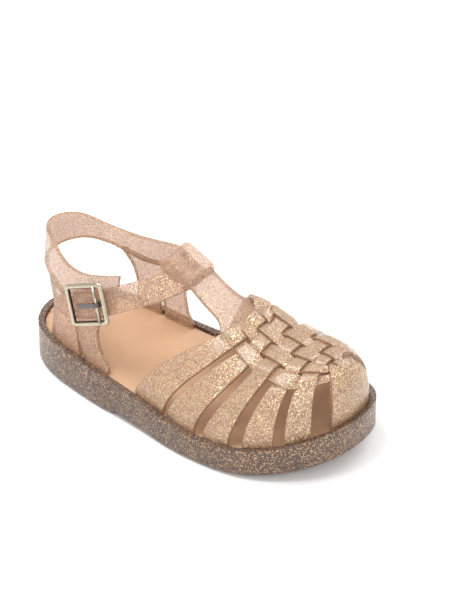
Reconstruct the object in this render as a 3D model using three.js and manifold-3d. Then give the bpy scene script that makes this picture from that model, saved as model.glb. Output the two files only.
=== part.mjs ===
// Jelly sandal, right shoe: a moulded fisherman upper on a platform sole, with a buckled ankle strap.
// Millimetres. X runs from heel to toe, +Y is the inner (medial) side, +Z is up, the floor is z = 0.
// The tables measure x from the back of the heel. At the end the whole shoe is moved so that the
// origin lies under the middle of the heel.

import * as THREE from 'three';
import { mergeVertices } from 'three/addons/utils/BufferGeometryUtils.js';
import Module from 'manifold-3d';

const wasm = await Module();
wasm.setup();

// Driving sizes

const SOLE_LENGTH = 165;
const SOLE_WIDTH = 76;
const HEEL_HEIGHT = 18.5;
const TOE_SPRING = 8.2;
const BREAST_STEP = 1.8;
const SOLE_EDGE = 1.6;
const RIM_WIDTH = 2.8;
const RIM_EDGE = 0.7;
const RECESS_DEPTH = 3.2;
const INSOLE_DROP = 0.5;
const INSOLE_DISH = 0.7;
const INSOLE_LIP = 5.6;
const CLEARANCE = 0.3;
const FOOT_GAP = 0.45;

const VAMP_WALL = 2.3;
const VAMP_HEIGHT = 46.5;
const STRIP_WIDTH = 5.8;
const STRIP_PITCH = 6.9;
const WEAVE_LIFT = 0.95;
const CAP_LIFT = 0.35;
const THROAT_DROP = 0.4;
const SLIVER = 0.02;
const EDGE_EASE = 0.45;

const COLLAR_HEIGHT = 60;
const COLLAR_WIDTH = 40;
const BAND_WALL = 2.3;
const QUARTER_WALL = 2.1;
const SLOT_WIDTH = 2.6;
const SLOT_TIP_WIDTH = 1;

const T_STRAP_WIDTH = 16.5;
const T_STRAP_WALL = 2.4;
const LOOP_THICKNESS = 8.4;
const LOOP_LENGTH = 18.5;
const LOOP_GROOVE_LENGTH = 10;
const LOOP_GROOVE_WIDTH = 2.8;
const LOOP_GROOVE_DEPTH = 0.8;

const BUCKLE_LENGTH = 19.5;
const BUCKLE_HEIGHT = 19;
const BUCKLE_BAR = 2.3;
const BUCKLE_DEPTH = 1.8;
const BUCKLE_CORNER = 2.6;
const BUCKLE_TURN = 0.8;
const BUCKLE_RAISE = 0.8;
const HINGE_BAR = 1.5;
const PRONG_LENGTH = 9;
const PRONG_WIDTH = 2;
const PRONG_WALL = 0.7;
const PRONG_DIP = 4;

const STATIONS = 30;

// Sole outline, heel round the outer side to the toe and back along the inner side.
// x is a share of SOLE_LENGTH, y a share of SOLE_WIDTH.
const OUTLINE = [
  { x: 0, y: 0 },
  { x: 0.035, y: -0.195 },
  { x: 0.113, y: -0.311 },
  { x: 0.272, y: -0.4 },
  { x: 0.452, y: -0.455 },
  { x: 0.635, y: -0.51 },
  { x: 0.792, y: -0.48 },
  { x: 0.91, y: -0.335 },
  { x: 0.978, y: -0.143 },
  { x: 1, y: 0.066 },
  { x: 0.979, y: 0.266 },
  { x: 0.887, y: 0.44 },
  { x: 0.727, y: 0.483 },
  { x: 0.545, y: 0.408 },
  { x: 0.364, y: 0.353 },
  { x: 0.212, y: 0.346 },
  { x: 0.085, y: 0.292 },
  { x: 0.021, y: 0.154 },
];

// Height of the rim over the floor: x a share of SOLE_LENGTH, rim a share of HEEL_HEIGHT.
const RIM = [
  { x: 0, rim: 0.99 },
  { x: 0.242, rim: 1.01 },
  { x: 0.485, rim: 0.835 },
  { x: 0.667, rim: 0.685 },
  { x: 0.836, rim: 0.81 },
  { x: 1, rim: 1.26 },
];

// Underside, in shares of SOLE_LENGTH: the heel ends at breast, the forefoot is flat from ball
// to roll and then rises by TOE_SPRING.
const UNDERSIDE = { breast: 0.364, ball: 0.55, roll: 0.68 };

// Ridge of the vamp: x a share of SOLE_LENGTH, y of SOLE_WIDTH, z of VAMP_HEIGHT, and the power of
// the rounded cross-section on its outer and inner side, where 2 is an ellipse and more is boxier.
const RIDGE = [
  { x: 0.5, y: 0.04, z: 1.32, outer: 1.48, inner: 1.3 },
  { x: 0.545, y: 0.04, z: 1.245, outer: 1.51, inner: 1.75 },
  { x: 0.582, y: 0.04, z: 1.196, outer: 1.52, inner: 2.25 },
  { x: 0.62, y: 0.045, z: 1.16, outer: 1.5, inner: 2.7 },
  { x: 0.66, y: 0.051, z: 1.112, outer: 1.53, inner: 2.95 },
  { x: 0.7, y: 0.04, z: 1.04, outer: 1.54, inner: 2.92 },
  { x: 0.75, y: 0.025, z: 1, outer: 1.64, inner: 2.86 },
  { x: 0.83, y: 0.011, z: 0.976, outer: 2, inner: 2.86 },
  { x: 0.9, y: 0.015, z: 0.976, outer: 2.5, inner: 2.9 },
  { x: 1, y: 0.018, z: 0.972, outer: 2.95, inner: 2.95 },
];

// Edges of the vamp straps as a fan: where each edge stands on the outer and inner side of the
// sole and where it meets the ridge, all shares of SOLE_LENGTH. Pitch is the spacing of the
// lengthwise strips there, a share of STRIP_PITCH, and bow the power by which the edge keeps
// square to the ridge before it sweeps back to its foot.
const FAN = [
  { outer: 0.434, inner: 0.464, ridge: 0.652, pitch: 0.815, bow: 2.09 },
  { outer: 0.536, inner: 0.565, ridge: 0.688, pitch: 0.87, bow: 2.24 },
  { outer: 0.55, inner: 0.578, ridge: 0.702, pitch: 0.92, bow: 2.32 },
  { outer: 0.645, inner: 0.668, ridge: 0.741, pitch: 0.97, bow: 2.34 },
  { outer: 0.675, inner: 0.695, ridge: 0.761, pitch: 1.02, bow: 2.35 },
  { outer: 0.754, inner: 0.77, ridge: 0.806, pitch: 1.06, bow: 2.32 },
  { outer: 0.794, inner: 0.806, ridge: 0.825, pitch: 1.09, bow: 2.3 },
  { outer: 0.871, inner: 0.879, ridge: 0.862, pitch: 1.1, bow: 2.25 },
  { outer: 0.896, inner: 0.902, ridge: 0.876, pitch: 1.08, bow: 2.23 },
  { outer: 0.947, inner: 0.951, ridge: 0.906, pitch: 1.02, bow: 2.22 },
  { outer: 0.98, inner: 0.982, ridge: 0.914, pitch: 0.98, bow: 1.5 },
  { outer: 1, inner: 1, ridge: 0.932, pitch: 0.95, bow: 2.2 },
];
const VAMP_STRAPS = [0, 2, 4, 6, 8];
const CAP_ROW = 10;
const TIP_ROW = 11;
const LENGTHWISE_STRIPS = [-2, -1, 0, 1, 2];
// Where the weave ends, counted in strips from the ridge; from there the straps run smoothly down.
// Where the toe narrows, that is at most WEAVE_END_SHARE of the way to the foot.
const WEAVE_END_COUNT = 2.75;
const WEAVE_END_SHARE = 0.74;

// One band: from the outer tab round the heel, along the inner side, over the instep and down to
// its tail on the outer side. Low and high edge: x is a share of SOLE_LENGTH, y of COLLAR_WIDTH,
// z of COLLAR_HEIGHT.
const BAND = [
  { lowX: 0.34, lowY: -0.57, lowZ: 0.79, highX: 0.342, highY: -0.47, highZ: 1.045 },
  { lowX: 0.283, lowY: -0.585, lowZ: 0.735, highX: 0.285, highY: -0.51, highZ: 1.0 },
  { lowX: 0.232, lowY: -0.57, lowZ: 0.71, highX: 0.232, highY: -0.515, highZ: 0.965 },
  { lowX: 0.178, lowY: -0.525, lowZ: 0.705, highX: 0.178, highY: -0.47, highZ: 0.952 },
  { lowX: 0.127, lowY: -0.45, lowZ: 0.715, highX: 0.129, highY: -0.395, highZ: 0.975 },
  { lowX: 0.078, lowY: -0.335, lowZ: 0.745, highX: 0.08, highY: -0.27, highZ: 1.01 },
  { lowX: 0.033, lowY: -0.175, lowZ: 0.765, highX: 0.033, highY: -0.12, highZ: 1.022 },
  { lowX: 0.014, lowY: 0.03, lowZ: 0.775, highX: 0.014, highY: 0.04, highZ: 1.028 },
  { lowX: 0.028, lowY: 0.23, lowZ: 0.79, highX: 0.031, highY: 0.2, highZ: 1.035 },
  { lowX: 0.066, lowY: 0.37, lowZ: 0.805, highX: 0.068, highY: 0.33, highZ: 1.015 },
  { lowX: 0.121, lowY: 0.465, lowZ: 0.785, highX: 0.121, highY: 0.425, highZ: 0.958 },
  { lowX: 0.176, lowY: 0.52, lowZ: 0.74, highX: 0.176, highY: 0.465, highZ: 0.935 },
  { lowX: 0.232, lowY: 0.535, lowZ: 0.715, highX: 0.23, highY: 0.47, highZ: 0.94 },
  { lowX: 0.29, lowY: 0.525, lowZ: 0.74, highX: 0.282, highY: 0.45, highZ: 0.968 },
  { lowX: 0.355, lowY: 0.47, lowZ: 0.8, highX: 0.33, highY: 0.4, highZ: 1.01 },
  { lowX: 0.43, lowY: 0.37, lowZ: 0.89, highX: 0.385, highY: 0.33, highZ: 1.055 },
  { lowX: 0.48, lowY: 0.25, lowZ: 0.965, highX: 0.415, highY: 0.24, highZ: 1.06 },
  { lowX: 0.49, lowY: 0.06, lowZ: 0.975, highX: 0.42, highY: 0.06, highZ: 1.05 },
  { lowX: 0.487, lowY: -0.14, lowZ: 0.955, highX: 0.42, highY: -0.14, highZ: 1.035 },
  { lowX: 0.452, lowY: -0.3, lowZ: 0.9, highX: 0.4, highY: -0.235, highZ: 1.015 },
  { lowX: 0.407, lowY: -0.435, lowZ: 0.84, highX: 0.372, highY: -0.335, highZ: 0.99 },
  { lowX: 0.335, lowY: -0.61, lowZ: 0.755, highX: 0.335, highY: -0.52, highZ: 0.965 },
  { lowX: 0.275, lowY: -0.685, lowZ: 0.69, highX: 0.275, highY: -0.625, highZ: 0.895 },
  { lowX: 0.21, lowY: -0.68, lowZ: 0.635, highX: 0.21, highY: -0.625, highZ: 0.83 },
  { lowX: 0.155, lowY: -0.635, lowZ: 0.595, highX: 0.155, highY: -0.575, highZ: 0.75 },
];
const HEEL_ROW = 7;
const INNER_ROW = 15;
const BUCKLE_ROW = 22;

// Quarters, from the sole up into the ankle band: z a share of COLLAR_HEIGHT, rear and front x
// shares of SOLE_LENGTH.
const OUTER_QUARTER = [
  { z: 0.32, rear: 0.108, front: 0.338 },
  { z: 0.4, rear: 0.112, front: 0.312 },
  { z: 0.48, rear: 0.115, front: 0.297 },
  { z: 0.57, rear: 0.116, front: 0.29 },
  { z: 0.65, rear: 0.105, front: 0.295 },
  { z: 0.72, rear: 0.088, front: 0.312 },
  { z: 0.8, rear: 0.085, front: 0.33 },
];
const INNER_QUARTER = [
  { z: 0.32, rear: 0.203, front: 0.382 },
  { z: 0.4, rear: 0.205, front: 0.372 },
  { z: 0.48, rear: 0.205, front: 0.37 },
  { z: 0.57, rear: 0.2, front: 0.37 },
  { z: 0.65, rear: 0.188, front: 0.373 },
  { z: 0.72, rear: 0.165, front: 0.372 },
  { z: 0.8, rear: 0.15, front: 0.373 },
  { z: 0.85, rear: 0.15, front: 0.385 },
];
// Slot in each quarter: its foot and its tip, x a share of SOLE_LENGTH, tip height a share of
// COLLAR_HEIGHT.
const OUTER_SLOT = { foot: 0.237, tip: 0.21, top: 0.56 };
const INNER_SLOT = { foot: 0.288, tip: 0.28, top: 0.6 };

// T-strap, from the weave up to the loop: x a share of SOLE_LENGTH, rise a share of the climb from
// the vamp's ridge to the loop, half a share of T_STRAP_WIDTH, and fall, how much of the vamp's
// own fall from the ridge its edges take.
const T_STRAP = [
  { x: 0.664, rise: 0, half: 0.72, fall: 1 },
  { x: 0.645, rise: 0.025, half: 0.82, fall: 1 },
  { x: 0.628, rise: 0.057, half: 0.86, fall: 0.95 },
  { x: 0.614, rise: 0.098, half: 0.74, fall: 0.85 },
  { x: 0.6, rise: 0.147, half: 0.6, fall: 0.7 },
  { x: 0.58, rise: 0.237, half: 0.54, fall: 0.5 },
  { x: 0.545, rise: 0.474, half: 0.52, fall: 0.32 },
  { x: 0.515, rise: 0.743, half: 0.5, fall: 0.2 },
  { x: 0.49, rise: 0.98, half: 0.5, fall: 0.12 },
];
// Middle of the loop's section, its height a share of COLLAR_HEIGHT, and its fall in degrees.
const LOOP = { x: 0.455, z: 1.054, fall: 24 };

// Tables and curves

function sample(table, key, at) {
  // Catmull-Rom through the rows of a table whose first column x rises.
  const last = table.length - 1;
  let row = 0;
  while (row < last - 1 && at > table[row + 1].x) row += 1;
  const previous = table[Math.max(row - 1, 0)];
  const start = table[row];
  const end = table[row + 1];
  const next = table[Math.min(row + 2, last)];
  const span = end.x - start.x;
  const t = THREE.MathUtils.clamp((at - start.x) / span, 0, 1);
  const slopeIn = ((end[key] - previous[key]) / (end.x - previous.x)) * span;
  const slopeOut = ((next[key] - start[key]) / (next.x - start.x)) * span;
  const t2 = t * t;
  const t3 = t2 * t;
  return (2 * t3 - 3 * t2 + 1) * start[key] + (t3 - 2 * t2 + t) * slopeIn
    + (3 * t2 - 2 * t3) * end[key] + (t3 - t2) * slopeOut;
}

function rowAt(table, position) {
  // Linear mix of the two rows round a position counted in rows, carried on past the ends.
  const row = THREE.MathUtils.clamp(Math.floor(position), 0, table.length - 2);
  const t = position - row;
  const mixed = {};
  for (const key of Object.keys(table[0])) {
    mixed[key] = THREE.MathUtils.lerp(table[row][key], table[row + 1][key], t);
  }
  return mixed;
}

const rimAt = (x) => sample(RIM, 'rim', x / SOLE_LENGTH) * HEEL_HEIGHT;

const ridgeY = (share) => sample(RIDGE, 'y', share) * SOLE_WIDTH;

function undersideAt(x) {
  const share = x / SOLE_LENGTH;
  const roll = Math.max(0, (share - UNDERSIDE.roll) / (1 - UNDERSIDE.roll));
  return TOE_SPRING * roll * roll;
}

// Sole outline as two rows of points with the same stations from heel to toe

const outlineCurve = new THREE.CatmullRomCurve3(
  OUTLINE.map((p) => new THREE.Vector3(p.x * SOLE_LENGTH, p.y * SOLE_WIDTH, 0)),
  true,
  'centripetal',
);
const OUTLINE_SAMPLES = 720;
const outlineSamples = outlineCurve.getPoints(OUTLINE_SAMPLES);
const TOE_ROW = 9;
const toeSample = Math.round((OUTLINE_SAMPLES * TOE_ROW) / OUTLINE.length);
const outerSamples = outlineSamples.slice(0, toeSample + 1);
const innerSamples = outlineSamples.slice(toeSample).reverse();

function outlineY(samples, x) {
  let low = 0;
  let high = samples.length - 1;
  while (high - low > 1) {
    const middle = (low + high) >> 1;
    if (samples[middle].x < x) low = middle;
    else high = middle;
  }
  const span = samples[high].x - samples[low].x;
  const t = span > 0 ? THREE.MathUtils.clamp((x - samples[low].x) / span, 0, 1) : 0;
  return THREE.MathUtils.lerp(samples[low].y, samples[high].y, t);
}

function stationX(station) {
  const start = outerSamples[0].x;
  const end = outerSamples[outerSamples.length - 1].x;
  return start + ((end - start) * (1 - Math.cos(Math.PI * station))) / 2;
}

function outlineRing(inset) {
  // Heel point, outer points, toe point, inner points back to the heel, moved inwards by inset.
  const ring = [];
  for (let i = 0; i <= STATIONS; i += 1) {
    const x = stationX(i / STATIONS);
    ring.push(new THREE.Vector2(x, outlineY(outerSamples, x)));
  }
  for (let i = STATIONS - 1; i > 0; i -= 1) {
    const x = stationX(i / STATIONS);
    ring.push(new THREE.Vector2(x, outlineY(innerSamples, x)));
  }
  return ring.map((point, i) => {
    const before = ring[(i + ring.length - 1) % ring.length];
    const after = ring[(i + 1) % ring.length];
    const along = after.clone().sub(before).normalize();
    return new THREE.Vector2(point.x - along.y * inset, point.y + along.x * inset);
  });
}

// Where the upper stands: the middle of its wall, just inside the rim
const FOOT_INSET = RIM_WIDTH + CLEARANCE + VAMP_WALL / 2;
const footRing = outlineRing(FOOT_INSET);
const outerFoot = footRing.slice(0, STATIONS + 1);
const innerFoot = [footRing[0], ...footRing.slice(STATIONS).reverse()];

function footAt(side, share) {
  // A point of the foot line by its share of the sole's length, on the outer or inner side.
  const samples = side < 0 ? outerFoot : innerFoot;
  const start = samples[0].x;
  const end = samples[samples.length - 1].x;
  const x = THREE.MathUtils.clamp(share * SOLE_LENGTH, start, end);
  return new THREE.Vector2(x, outlineY(samples, x));
}

function footByFan(side, share) {
  // Shares near the toe are read along the outline, so that 1 is the tip of the foot line.
  const samples = side < 0 ? outerFoot : innerFoot;
  const tip = samples[samples.length - 1];
  const station = Math.acos(1 - 2 * share) / Math.PI;
  const position = station * STATIONS;
  const index = Math.min(Math.floor(position), STATIONS - 1);
  if (share >= 1) return tip.clone();
  return samples[index].clone().lerp(samples[index + 1], position - index);
}

// Solids

function closedGeometry(positions, indices) {
  const geometry = new THREE.BufferGeometry();
  geometry.setAttribute('position', new THREE.Float32BufferAttribute(positions, 3));
  geometry.setIndex(indices);
  let volume = 0;
  const corner = [new THREE.Vector3(), new THREE.Vector3(), new THREE.Vector3()];
  for (let i = 0; i < indices.length; i += 3) {
    corner.forEach((c, k) => c.fromArray(positions, indices[i + k] * 3));
    volume += corner[0].dot(corner[1].clone().cross(corner[2]));
  }
  if (volume < 0) {
    for (let i = 0; i < indices.length; i += 3) {
      [indices[i + 1], indices[i + 2]] = [indices[i + 2], indices[i + 1]];
    }
    geometry.setIndex(indices);
  }
  return geometry;
}

function toSolid(source) {
  const bare = source.clone();
  for (const name of Object.keys(bare.attributes)) {
    if (name !== 'position') bare.deleteAttribute(name);
  }
  const merged = mergeVertices(bare, 1e-5);
  return new wasm.Manifold(new wasm.Mesh({
    numProp: 3,
    vertProperties: new Float32Array(merged.attributes.position.array),
    triVerts: new Uint32Array(merged.index.array),
  }));
}

function toGeometry(solid) {
  const mesh = solid.getMesh();
  const geometry = new THREE.BufferGeometry();
  geometry.setAttribute('position', new THREE.BufferAttribute(new Float32Array(mesh.vertProperties), 3));
  geometry.setIndex(new THREE.BufferAttribute(new Uint32Array(mesh.triVerts), 1));
  return geometry;
}

function union(solids) {
  return solids.reduce((sum, solid) => sum.add(solid));
}

function tidied(solid) {
  // The body itself, without the slivers that joins and cuts leave behind.
  const bodies = solid.simplify(SLIVER).decompose();
  return bodies.reduce((main, body) => (body.volume() > main.volume() ? body : main));
}

function sheet(rows, columns, place, low, high) {
  // A wall over a grid of points: place(row, column) is its middle surface, low and high are the
  // offsets of its two faces along the normal. Rows and columns are lists of parameters.
  const middle = rows.map((r) => columns.map((c) => place(r, c)));
  const lastRow = rows.length - 1;
  const lastColumn = columns.length - 1;
  const normalAt = (i, j) => {
    const alongRows = middle[Math.min(i + 1, lastRow)][j].clone().sub(middle[Math.max(i - 1, 0)][j]);
    const alongColumns = middle[i][Math.min(j + 1, lastColumn)].clone().sub(middle[i][Math.max(j - 1, 0)]);
    return alongRows.cross(alongColumns).normalize();
  };
  const positions = [];
  const faces = [];
  for (const offset of [low, high]) {
    middle.forEach((line, i) => line.forEach((point, j) => {
      const moved = point.clone().addScaledVector(normalAt(i, j), offset(rows[i], columns[j]));
      positions.push(moved.x, moved.y, moved.z);
    }));
  }
  const width = columns.length;
  const layer = rows.length * width;
  const quad = (a, b, c, d) => faces.push(a, b, c, a, c, d);
  for (let i = 0; i < lastRow; i += 1) {
    for (let j = 0; j < lastColumn; j += 1) {
      const a = i * width + j;
      quad(a, a + width, a + width + 1, a + 1);
      quad(layer + a, layer + a + 1, layer + a + width + 1, layer + a + width);
    }
    const left = i * width;
    const right = left + lastColumn;
    quad(left, layer + left, layer + left + width, left + width);
    quad(right, right + width, layer + right + width, layer + right);
  }
  for (let j = 0; j < lastColumn; j += 1) {
    const end = lastRow * width + j;
    quad(j, j + 1, layer + j + 1, layer + j);
    quad(end, layer + end, layer + end + 1, end + 1);
  }
  return toSolid(closedGeometry(positions, faces));
}

function lofted(rings, capRows) {
  // Rings of equal count, each a list of points, closed at both ends by strips that join the
  // outer and the inner side of the sole at the same station.
  const count = rings[0].length;
  const positions = rings.flat().flatMap((p) => [p.x, p.y, p.z]);
  const faces = [];
  for (let r = 0; r < rings.length - 1; r += 1) {
    for (let i = 0; i < count; i += 1) {
      const next = (i + 1) % count;
      const a = r * count + i;
      const b = r * count + next;
      faces.push(a, b, b + count, a, b + count, a + count);
    }
  }
  const cap = (base, flip) => {
    for (let i = 0; i < capRows; i += 1) {
      const outer = base + i;
      const outerNext = base + i + 1;
      const inner = base + ((count - i) % count);
      const innerNext = base + ((count - i - 1) % count);
      const corners = [outer, outerNext, innerNext, inner];
      for (const [a, b, c] of [[0, 1, 2], [0, 2, 3]]) {
        const triangle = [corners[a], corners[b], corners[c]];
        if (new Set(triangle).size < 3) continue;
        faces.push(...(flip ? triangle.reverse() : triangle));
      }
    }
  };
  cap(0, true);
  cap((rings.length - 1) * count, false);
  return closedGeometry(positions, faces);
}

function level(inset, height) {
  return outlineRing(inset).map((p) => new THREE.Vector3(p.x, p.y, height(p.x)));
}

// Outsole: a tray with a rim, the recess that holds upper and insole, and the step at the heel

function outsole() {
  const seat = (x) => rimAt(x) - RECESS_DEPTH;
  const tray = toSolid(lofted([
    level(SOLE_EDGE, undersideAt),
    level(SOLE_EDGE / 4, (x) => undersideAt(x) + SOLE_EDGE / 3),
    level(0, (x) => undersideAt(x) + SOLE_EDGE),
    level(0, (x) => rimAt(x) - RIM_EDGE),
    level(RIM_EDGE, rimAt),
    level(RIM_WIDTH, rimAt),
    level(RIM_WIDTH, seat),
  ], STATIONS));
  const step = new THREE.Shape([
    new THREE.Vector2(UNDERSIDE.breast * SOLE_LENGTH, -1),
    new THREE.Vector2(UNDERSIDE.breast * SOLE_LENGTH, BREAST_STEP),
    new THREE.Vector2(UNDERSIDE.ball * SOLE_LENGTH, 0),
    new THREE.Vector2(UNDERSIDE.ball * SOLE_LENGTH, -1),
  ]);
  const arch = new THREE.ExtrudeGeometry(step, { depth: 2 * SOLE_WIDTH, bevelEnabled: false });
  arch.rotateX(Math.PI / 2);
  arch.translate(0, SOLE_WIDTH, 0);
  return tray.subtract(toSolid(arch));
}

// Vamp: one rounded surface that the straps, the strips and the toe cap all follow

function vampPoint(edge, across) {
  // edge counts rows of the fan, across is the signed distance from the ridge as a share of the
  // way to the foot, negative on the outer side. Beyond 1 it goes straight down into the sole.
  const side = across < 0 ? -1 : 1;
  const fan = rowAt(FAN, Math.min(edge, TIP_ROW));
  const foot = footByFan(side, side < 0 ? fan.outer : fan.inner);
  const share = Math.min(Math.abs(across), 1);
  const plan = new THREE.Vector2(
    THREE.MathUtils.lerp(fan.ridge * SOLE_LENGTH, foot.x, share ** fan.bow),
    THREE.MathUtils.lerp(ridgeY(fan.ridge), foot.y, share),
  );
  const rim = rimAt(foot.x);
  const power = sample(RIDGE, side < 0 ? 'outer' : 'inner', plan.x / SOLE_LENGTH);
  const top = sample(RIDGE, 'z', plan.x / SOLE_LENGTH) * VAMP_HEIGHT - VAMP_WALL / 2;
  const rise = (1 - share ** power) ** (1 / power);
  const half = VAMP_WALL / 2;
  const sloping = Math.max(rimAt(foot.x - half), rimAt(foot.x + half)) - rim;
  const sunk = Math.max(0, Math.abs(across) - 1) * (RECESS_DEPTH - sloping);
  return new THREE.Vector3(plan.x, plan.y, rim + (top - rim) * rise - sunk);
}

function reachAt(edge, side) {
  // Sideways distance from the ridge to the foot line.
  const fan = rowAt(FAN, edge);
  const foot = footByFan(side, side < 0 ? fan.outer : fan.inner);
  return Math.abs(foot.y - ridgeY(fan.ridge));
}

function acrossAt(strips, edge) {
  // A place in the weave, counted in strips from the ridge, as a share of the way to the foot.
  const pitch = rowAt(FAN, edge).pitch * STRIP_PITCH;
  const reach = reachAt(edge, strips < 0 ? -1 : 1);
  return strips * Math.min(pitch / reach, WEAVE_END_SHARE / WEAVE_END_COUNT);
}

const SIDE_STEPS = 6;
const FLAT_SHARE = 0.27;
const STRAP_COLUMNS = [0, 0.5, 1];
const STRIP_COLUMNS = [-1, 0, 1];

function sideShares(start, grow) {
  // From the weave's edge down the wall to the foot, evenly by angle, and into the recess.
  const first = Math.asin(start);
  const shares = [];
  for (let i = 0; i <= SIDE_STEPS; i += 1) {
    shares.push(Math.sin(first + ((Math.PI / 2 - first) * i) / SIDE_STEPS));
  }
  shares.push(1 + (RECESS_DEPTH - FOOT_GAP + 2 * grow) / RECESS_DEPTH);
  return shares;
}

const fanWidth = (row) => (FAN[row + 1].outer - FAN[row].outer) * SOLE_LENGTH;

function vampStrap(index, grow = 0, outward = 0) {
  // grow and outward widen the solid where it cuts its notch out of the insole.
  const edge = VAMP_STRAPS[index];
  const middle = edge + 0.5;
  const rows = [];
  const lifts = new Map();
  const addRow = (across, lift) => {
    rows.push(across);
    lifts.set(across, lift);
  };
  sideShares(-acrossAt(-WEAVE_END_COUNT, middle), grow).reverse().forEach((s) => addRow(-s, 0));
  for (const strip of LENGTHWISE_STRIPS) {
    const over = (strip + index) % 2 === 0 ? 1 : -1;
    for (const flat of [-FLAT_SHARE, FLAT_SHARE]) {
      addRow(acrossAt(strip + flat, middle), over * WEAVE_LIFT);
    }
  }
  sideShares(acrossAt(WEAVE_END_COUNT, middle), grow).forEach((s) => addRow(s, 0));
  const rearGap = fanWidth(Math.max(edge - 1, 0));
  const frontGap = fanWidth(edge + 1);
  const widen = (c) => edge + c + ((2 * c - 1) * grow) / (c < 0.5 ? rearGap : frontGap);
  return sheet(
    rows,
    STRAP_COLUMNS,
    (across, c) => vampPoint(widen(c), across),
    (across) => lifts.get(across) - VAMP_WALL / 2 - grow,
    (across) => lifts.get(across) + VAMP_WALL / 2 + outward,
  );
}

// A lengthwise strip starts under the T-strap and ends under the toe cap: its fan rows and lifts.
// In between it lies flat over or under the middle of each strap.
const STRIP_START = { row: 0.35, lift: -0.4 };
const STRIP_END = { row: CAP_ROW + 0.2, lift: -0.5 };
const STRIP_FLAT = { from: 0.22, to: 0.78 };

function lengthwiseStrip(strip) {
  const rows = [];
  const lifts = new Map();
  const addRow = (edge, lift) => {
    rows.push(edge);
    lifts.set(edge, lift);
  };
  addRow(STRIP_START.row, STRIP_START.lift);
  VAMP_STRAPS.forEach((edge, index) => {
    const over = (strip + index) % 2 === 0 ? -1 : 1;
    if (index > 0) addRow(edge + STRIP_FLAT.from, over * WEAVE_LIFT);
    addRow(edge + STRIP_FLAT.to, over * WEAVE_LIFT);
  });
  addRow(STRIP_END.row, STRIP_END.lift);
  const half = STRIP_WIDTH / STRIP_PITCH / 2;
  return sheet(
    rows,
    STRIP_COLUMNS,
    (edge, c) => vampPoint(edge, acrossAt(strip + c * half, edge)),
    (edge) => lifts.get(edge) - VAMP_WALL / 2,
    (edge) => lifts.get(edge) + VAMP_WALL / 2,
  );
}

const CAP_TOP_SHARE = 0.06;
const CAP_COLUMNS = 7;

function toeCap(grow = 0, outward = 0) {
  // The fan's last stretch on both sides of the tip, from the foot up to near the ridge's end.
  const rows = sideShares(CAP_TOP_SHARE, grow).reverse();
  const columns = [];
  for (let i = -CAP_COLUMNS; i <= CAP_COLUMNS; i += 1) columns.push(i / CAP_COLUMNS);
  const widen = 1 + grow / fanWidth(CAP_ROW - 1);
  const lift = (across) => CAP_LIFT * Math.max(0, 1 - across ** 4);
  return sheet(
    rows,
    columns,
    (across, c) => {
      const around = Math.sign(c) * (1 - Math.abs(c)) * (TIP_ROW - CAP_ROW);
      const edge = c === 0 ? TIP_ROW : TIP_ROW - Math.abs(c) * (TIP_ROW - CAP_ROW) * widen;
      return vampPoint(edge, (around < 0 || c < 0 ? -1 : 1) * across);
    },
    (across) => lift(across) - VAMP_WALL / 2 - grow,
    (across) => lift(across) + VAMP_WALL / 2 + outward,
  );
}

function tStrap() {
  const rows = T_STRAP.map((row, i) => i);
  const columns = [-1, -0.5, 0, 0.5, 1];
  const throat = sample(RIDGE, 'z', T_STRAP[0].x) * VAMP_HEIGHT - THROAT_DROP;
  return sheet(
    rows,
    columns,
    (i, c) => {
      const row = T_STRAP[i];
      const aside = c * row.half * T_STRAP_WIDTH;
      const power = sample(RIDGE, aside < 0 ? 'outer' : 'inner', row.x);
      const share = Math.abs(aside) / reachAt(0, Math.sign(aside));
      const fall = (1 - (1 - share ** power) ** (1 / power)) * (VAMP_HEIGHT - HEEL_HEIGHT);
      return new THREE.Vector3(
        row.x * SOLE_LENGTH,
        ridgeY(row.x) + aside,
        THREE.MathUtils.lerp(throat, LOOP.z * COLLAR_HEIGHT, row.rise) - T_STRAP_WALL / 2
          - row.fall * fall,
      );
    },
    () => -T_STRAP_WALL / 2,
    () => T_STRAP_WALL / 2,
  );
}

function loop() {
  // The T-strap's end, folded round the ankle strap: a rounded bar across the instep with a
  // moulded groove on top.
  const radius = LOOP_THICKNESS / 2;
  const straight = LOOP_LENGTH / 2 - radius;
  const section = new THREE.Shape();
  section.moveTo(-straight, -radius);
  section.lineTo(straight, -radius);
  section.absarc(straight, 0, radius, -Math.PI / 2, Math.PI / 2, false);
  section.lineTo(-straight, radius);
  section.absarc(-straight, 0, radius, Math.PI / 2, (3 * Math.PI) / 2, false);
  const bar = new THREE.ExtrudeGeometry(section, {
    depth: T_STRAP_WIDTH - 2 * EDGE_EASE,
    bevelEnabled: true,
    bevelSize: EDGE_EASE,
    bevelThickness: EDGE_EASE,
    bevelOffset: -EDGE_EASE,
    bevelSegments: 1,
    curveSegments: 6,
  });
  bar.translate(0, 0, -T_STRAP_WIDTH / 2 + EDGE_EASE);
  bar.rotateX(Math.PI / 2);
  const groove = new THREE.BoxGeometry(LOOP_GROOVE_LENGTH, LOOP_GROOVE_WIDTH, 2 * LOOP_GROOVE_DEPTH);
  groove.translate(0, 0, radius);
  const solid = toSolid(bar).subtract(toSolid(groove));
  return solid
    .rotate([0, LOOP.fall, 0])
    .translate([LOOP.x * SOLE_LENGTH, ridgeY(LOOP.x), LOOP.z * COLLAR_HEIGHT]);
}

// Collar: the band round the heel, the quarters and the ankle strap

function edgeCurves(table) {
  const point = (row, end) => new THREE.Vector3(
    row[`${end}X`] * SOLE_LENGTH,
    row[`${end}Y`] * COLLAR_WIDTH,
    row[`${end}Z`] * COLLAR_HEIGHT,
  );
  return {
    low: new THREE.CatmullRomCurve3(table.map((row) => point(row, 'low'))),
    high: new THREE.CatmullRomCurve3(table.map((row) => point(row, 'high'))),
  };
}

const bandCurves = edgeCurves(BAND);
const bandRows = BAND.length - 1;
const BAND_COLUMNS = [0, 1];

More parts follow.
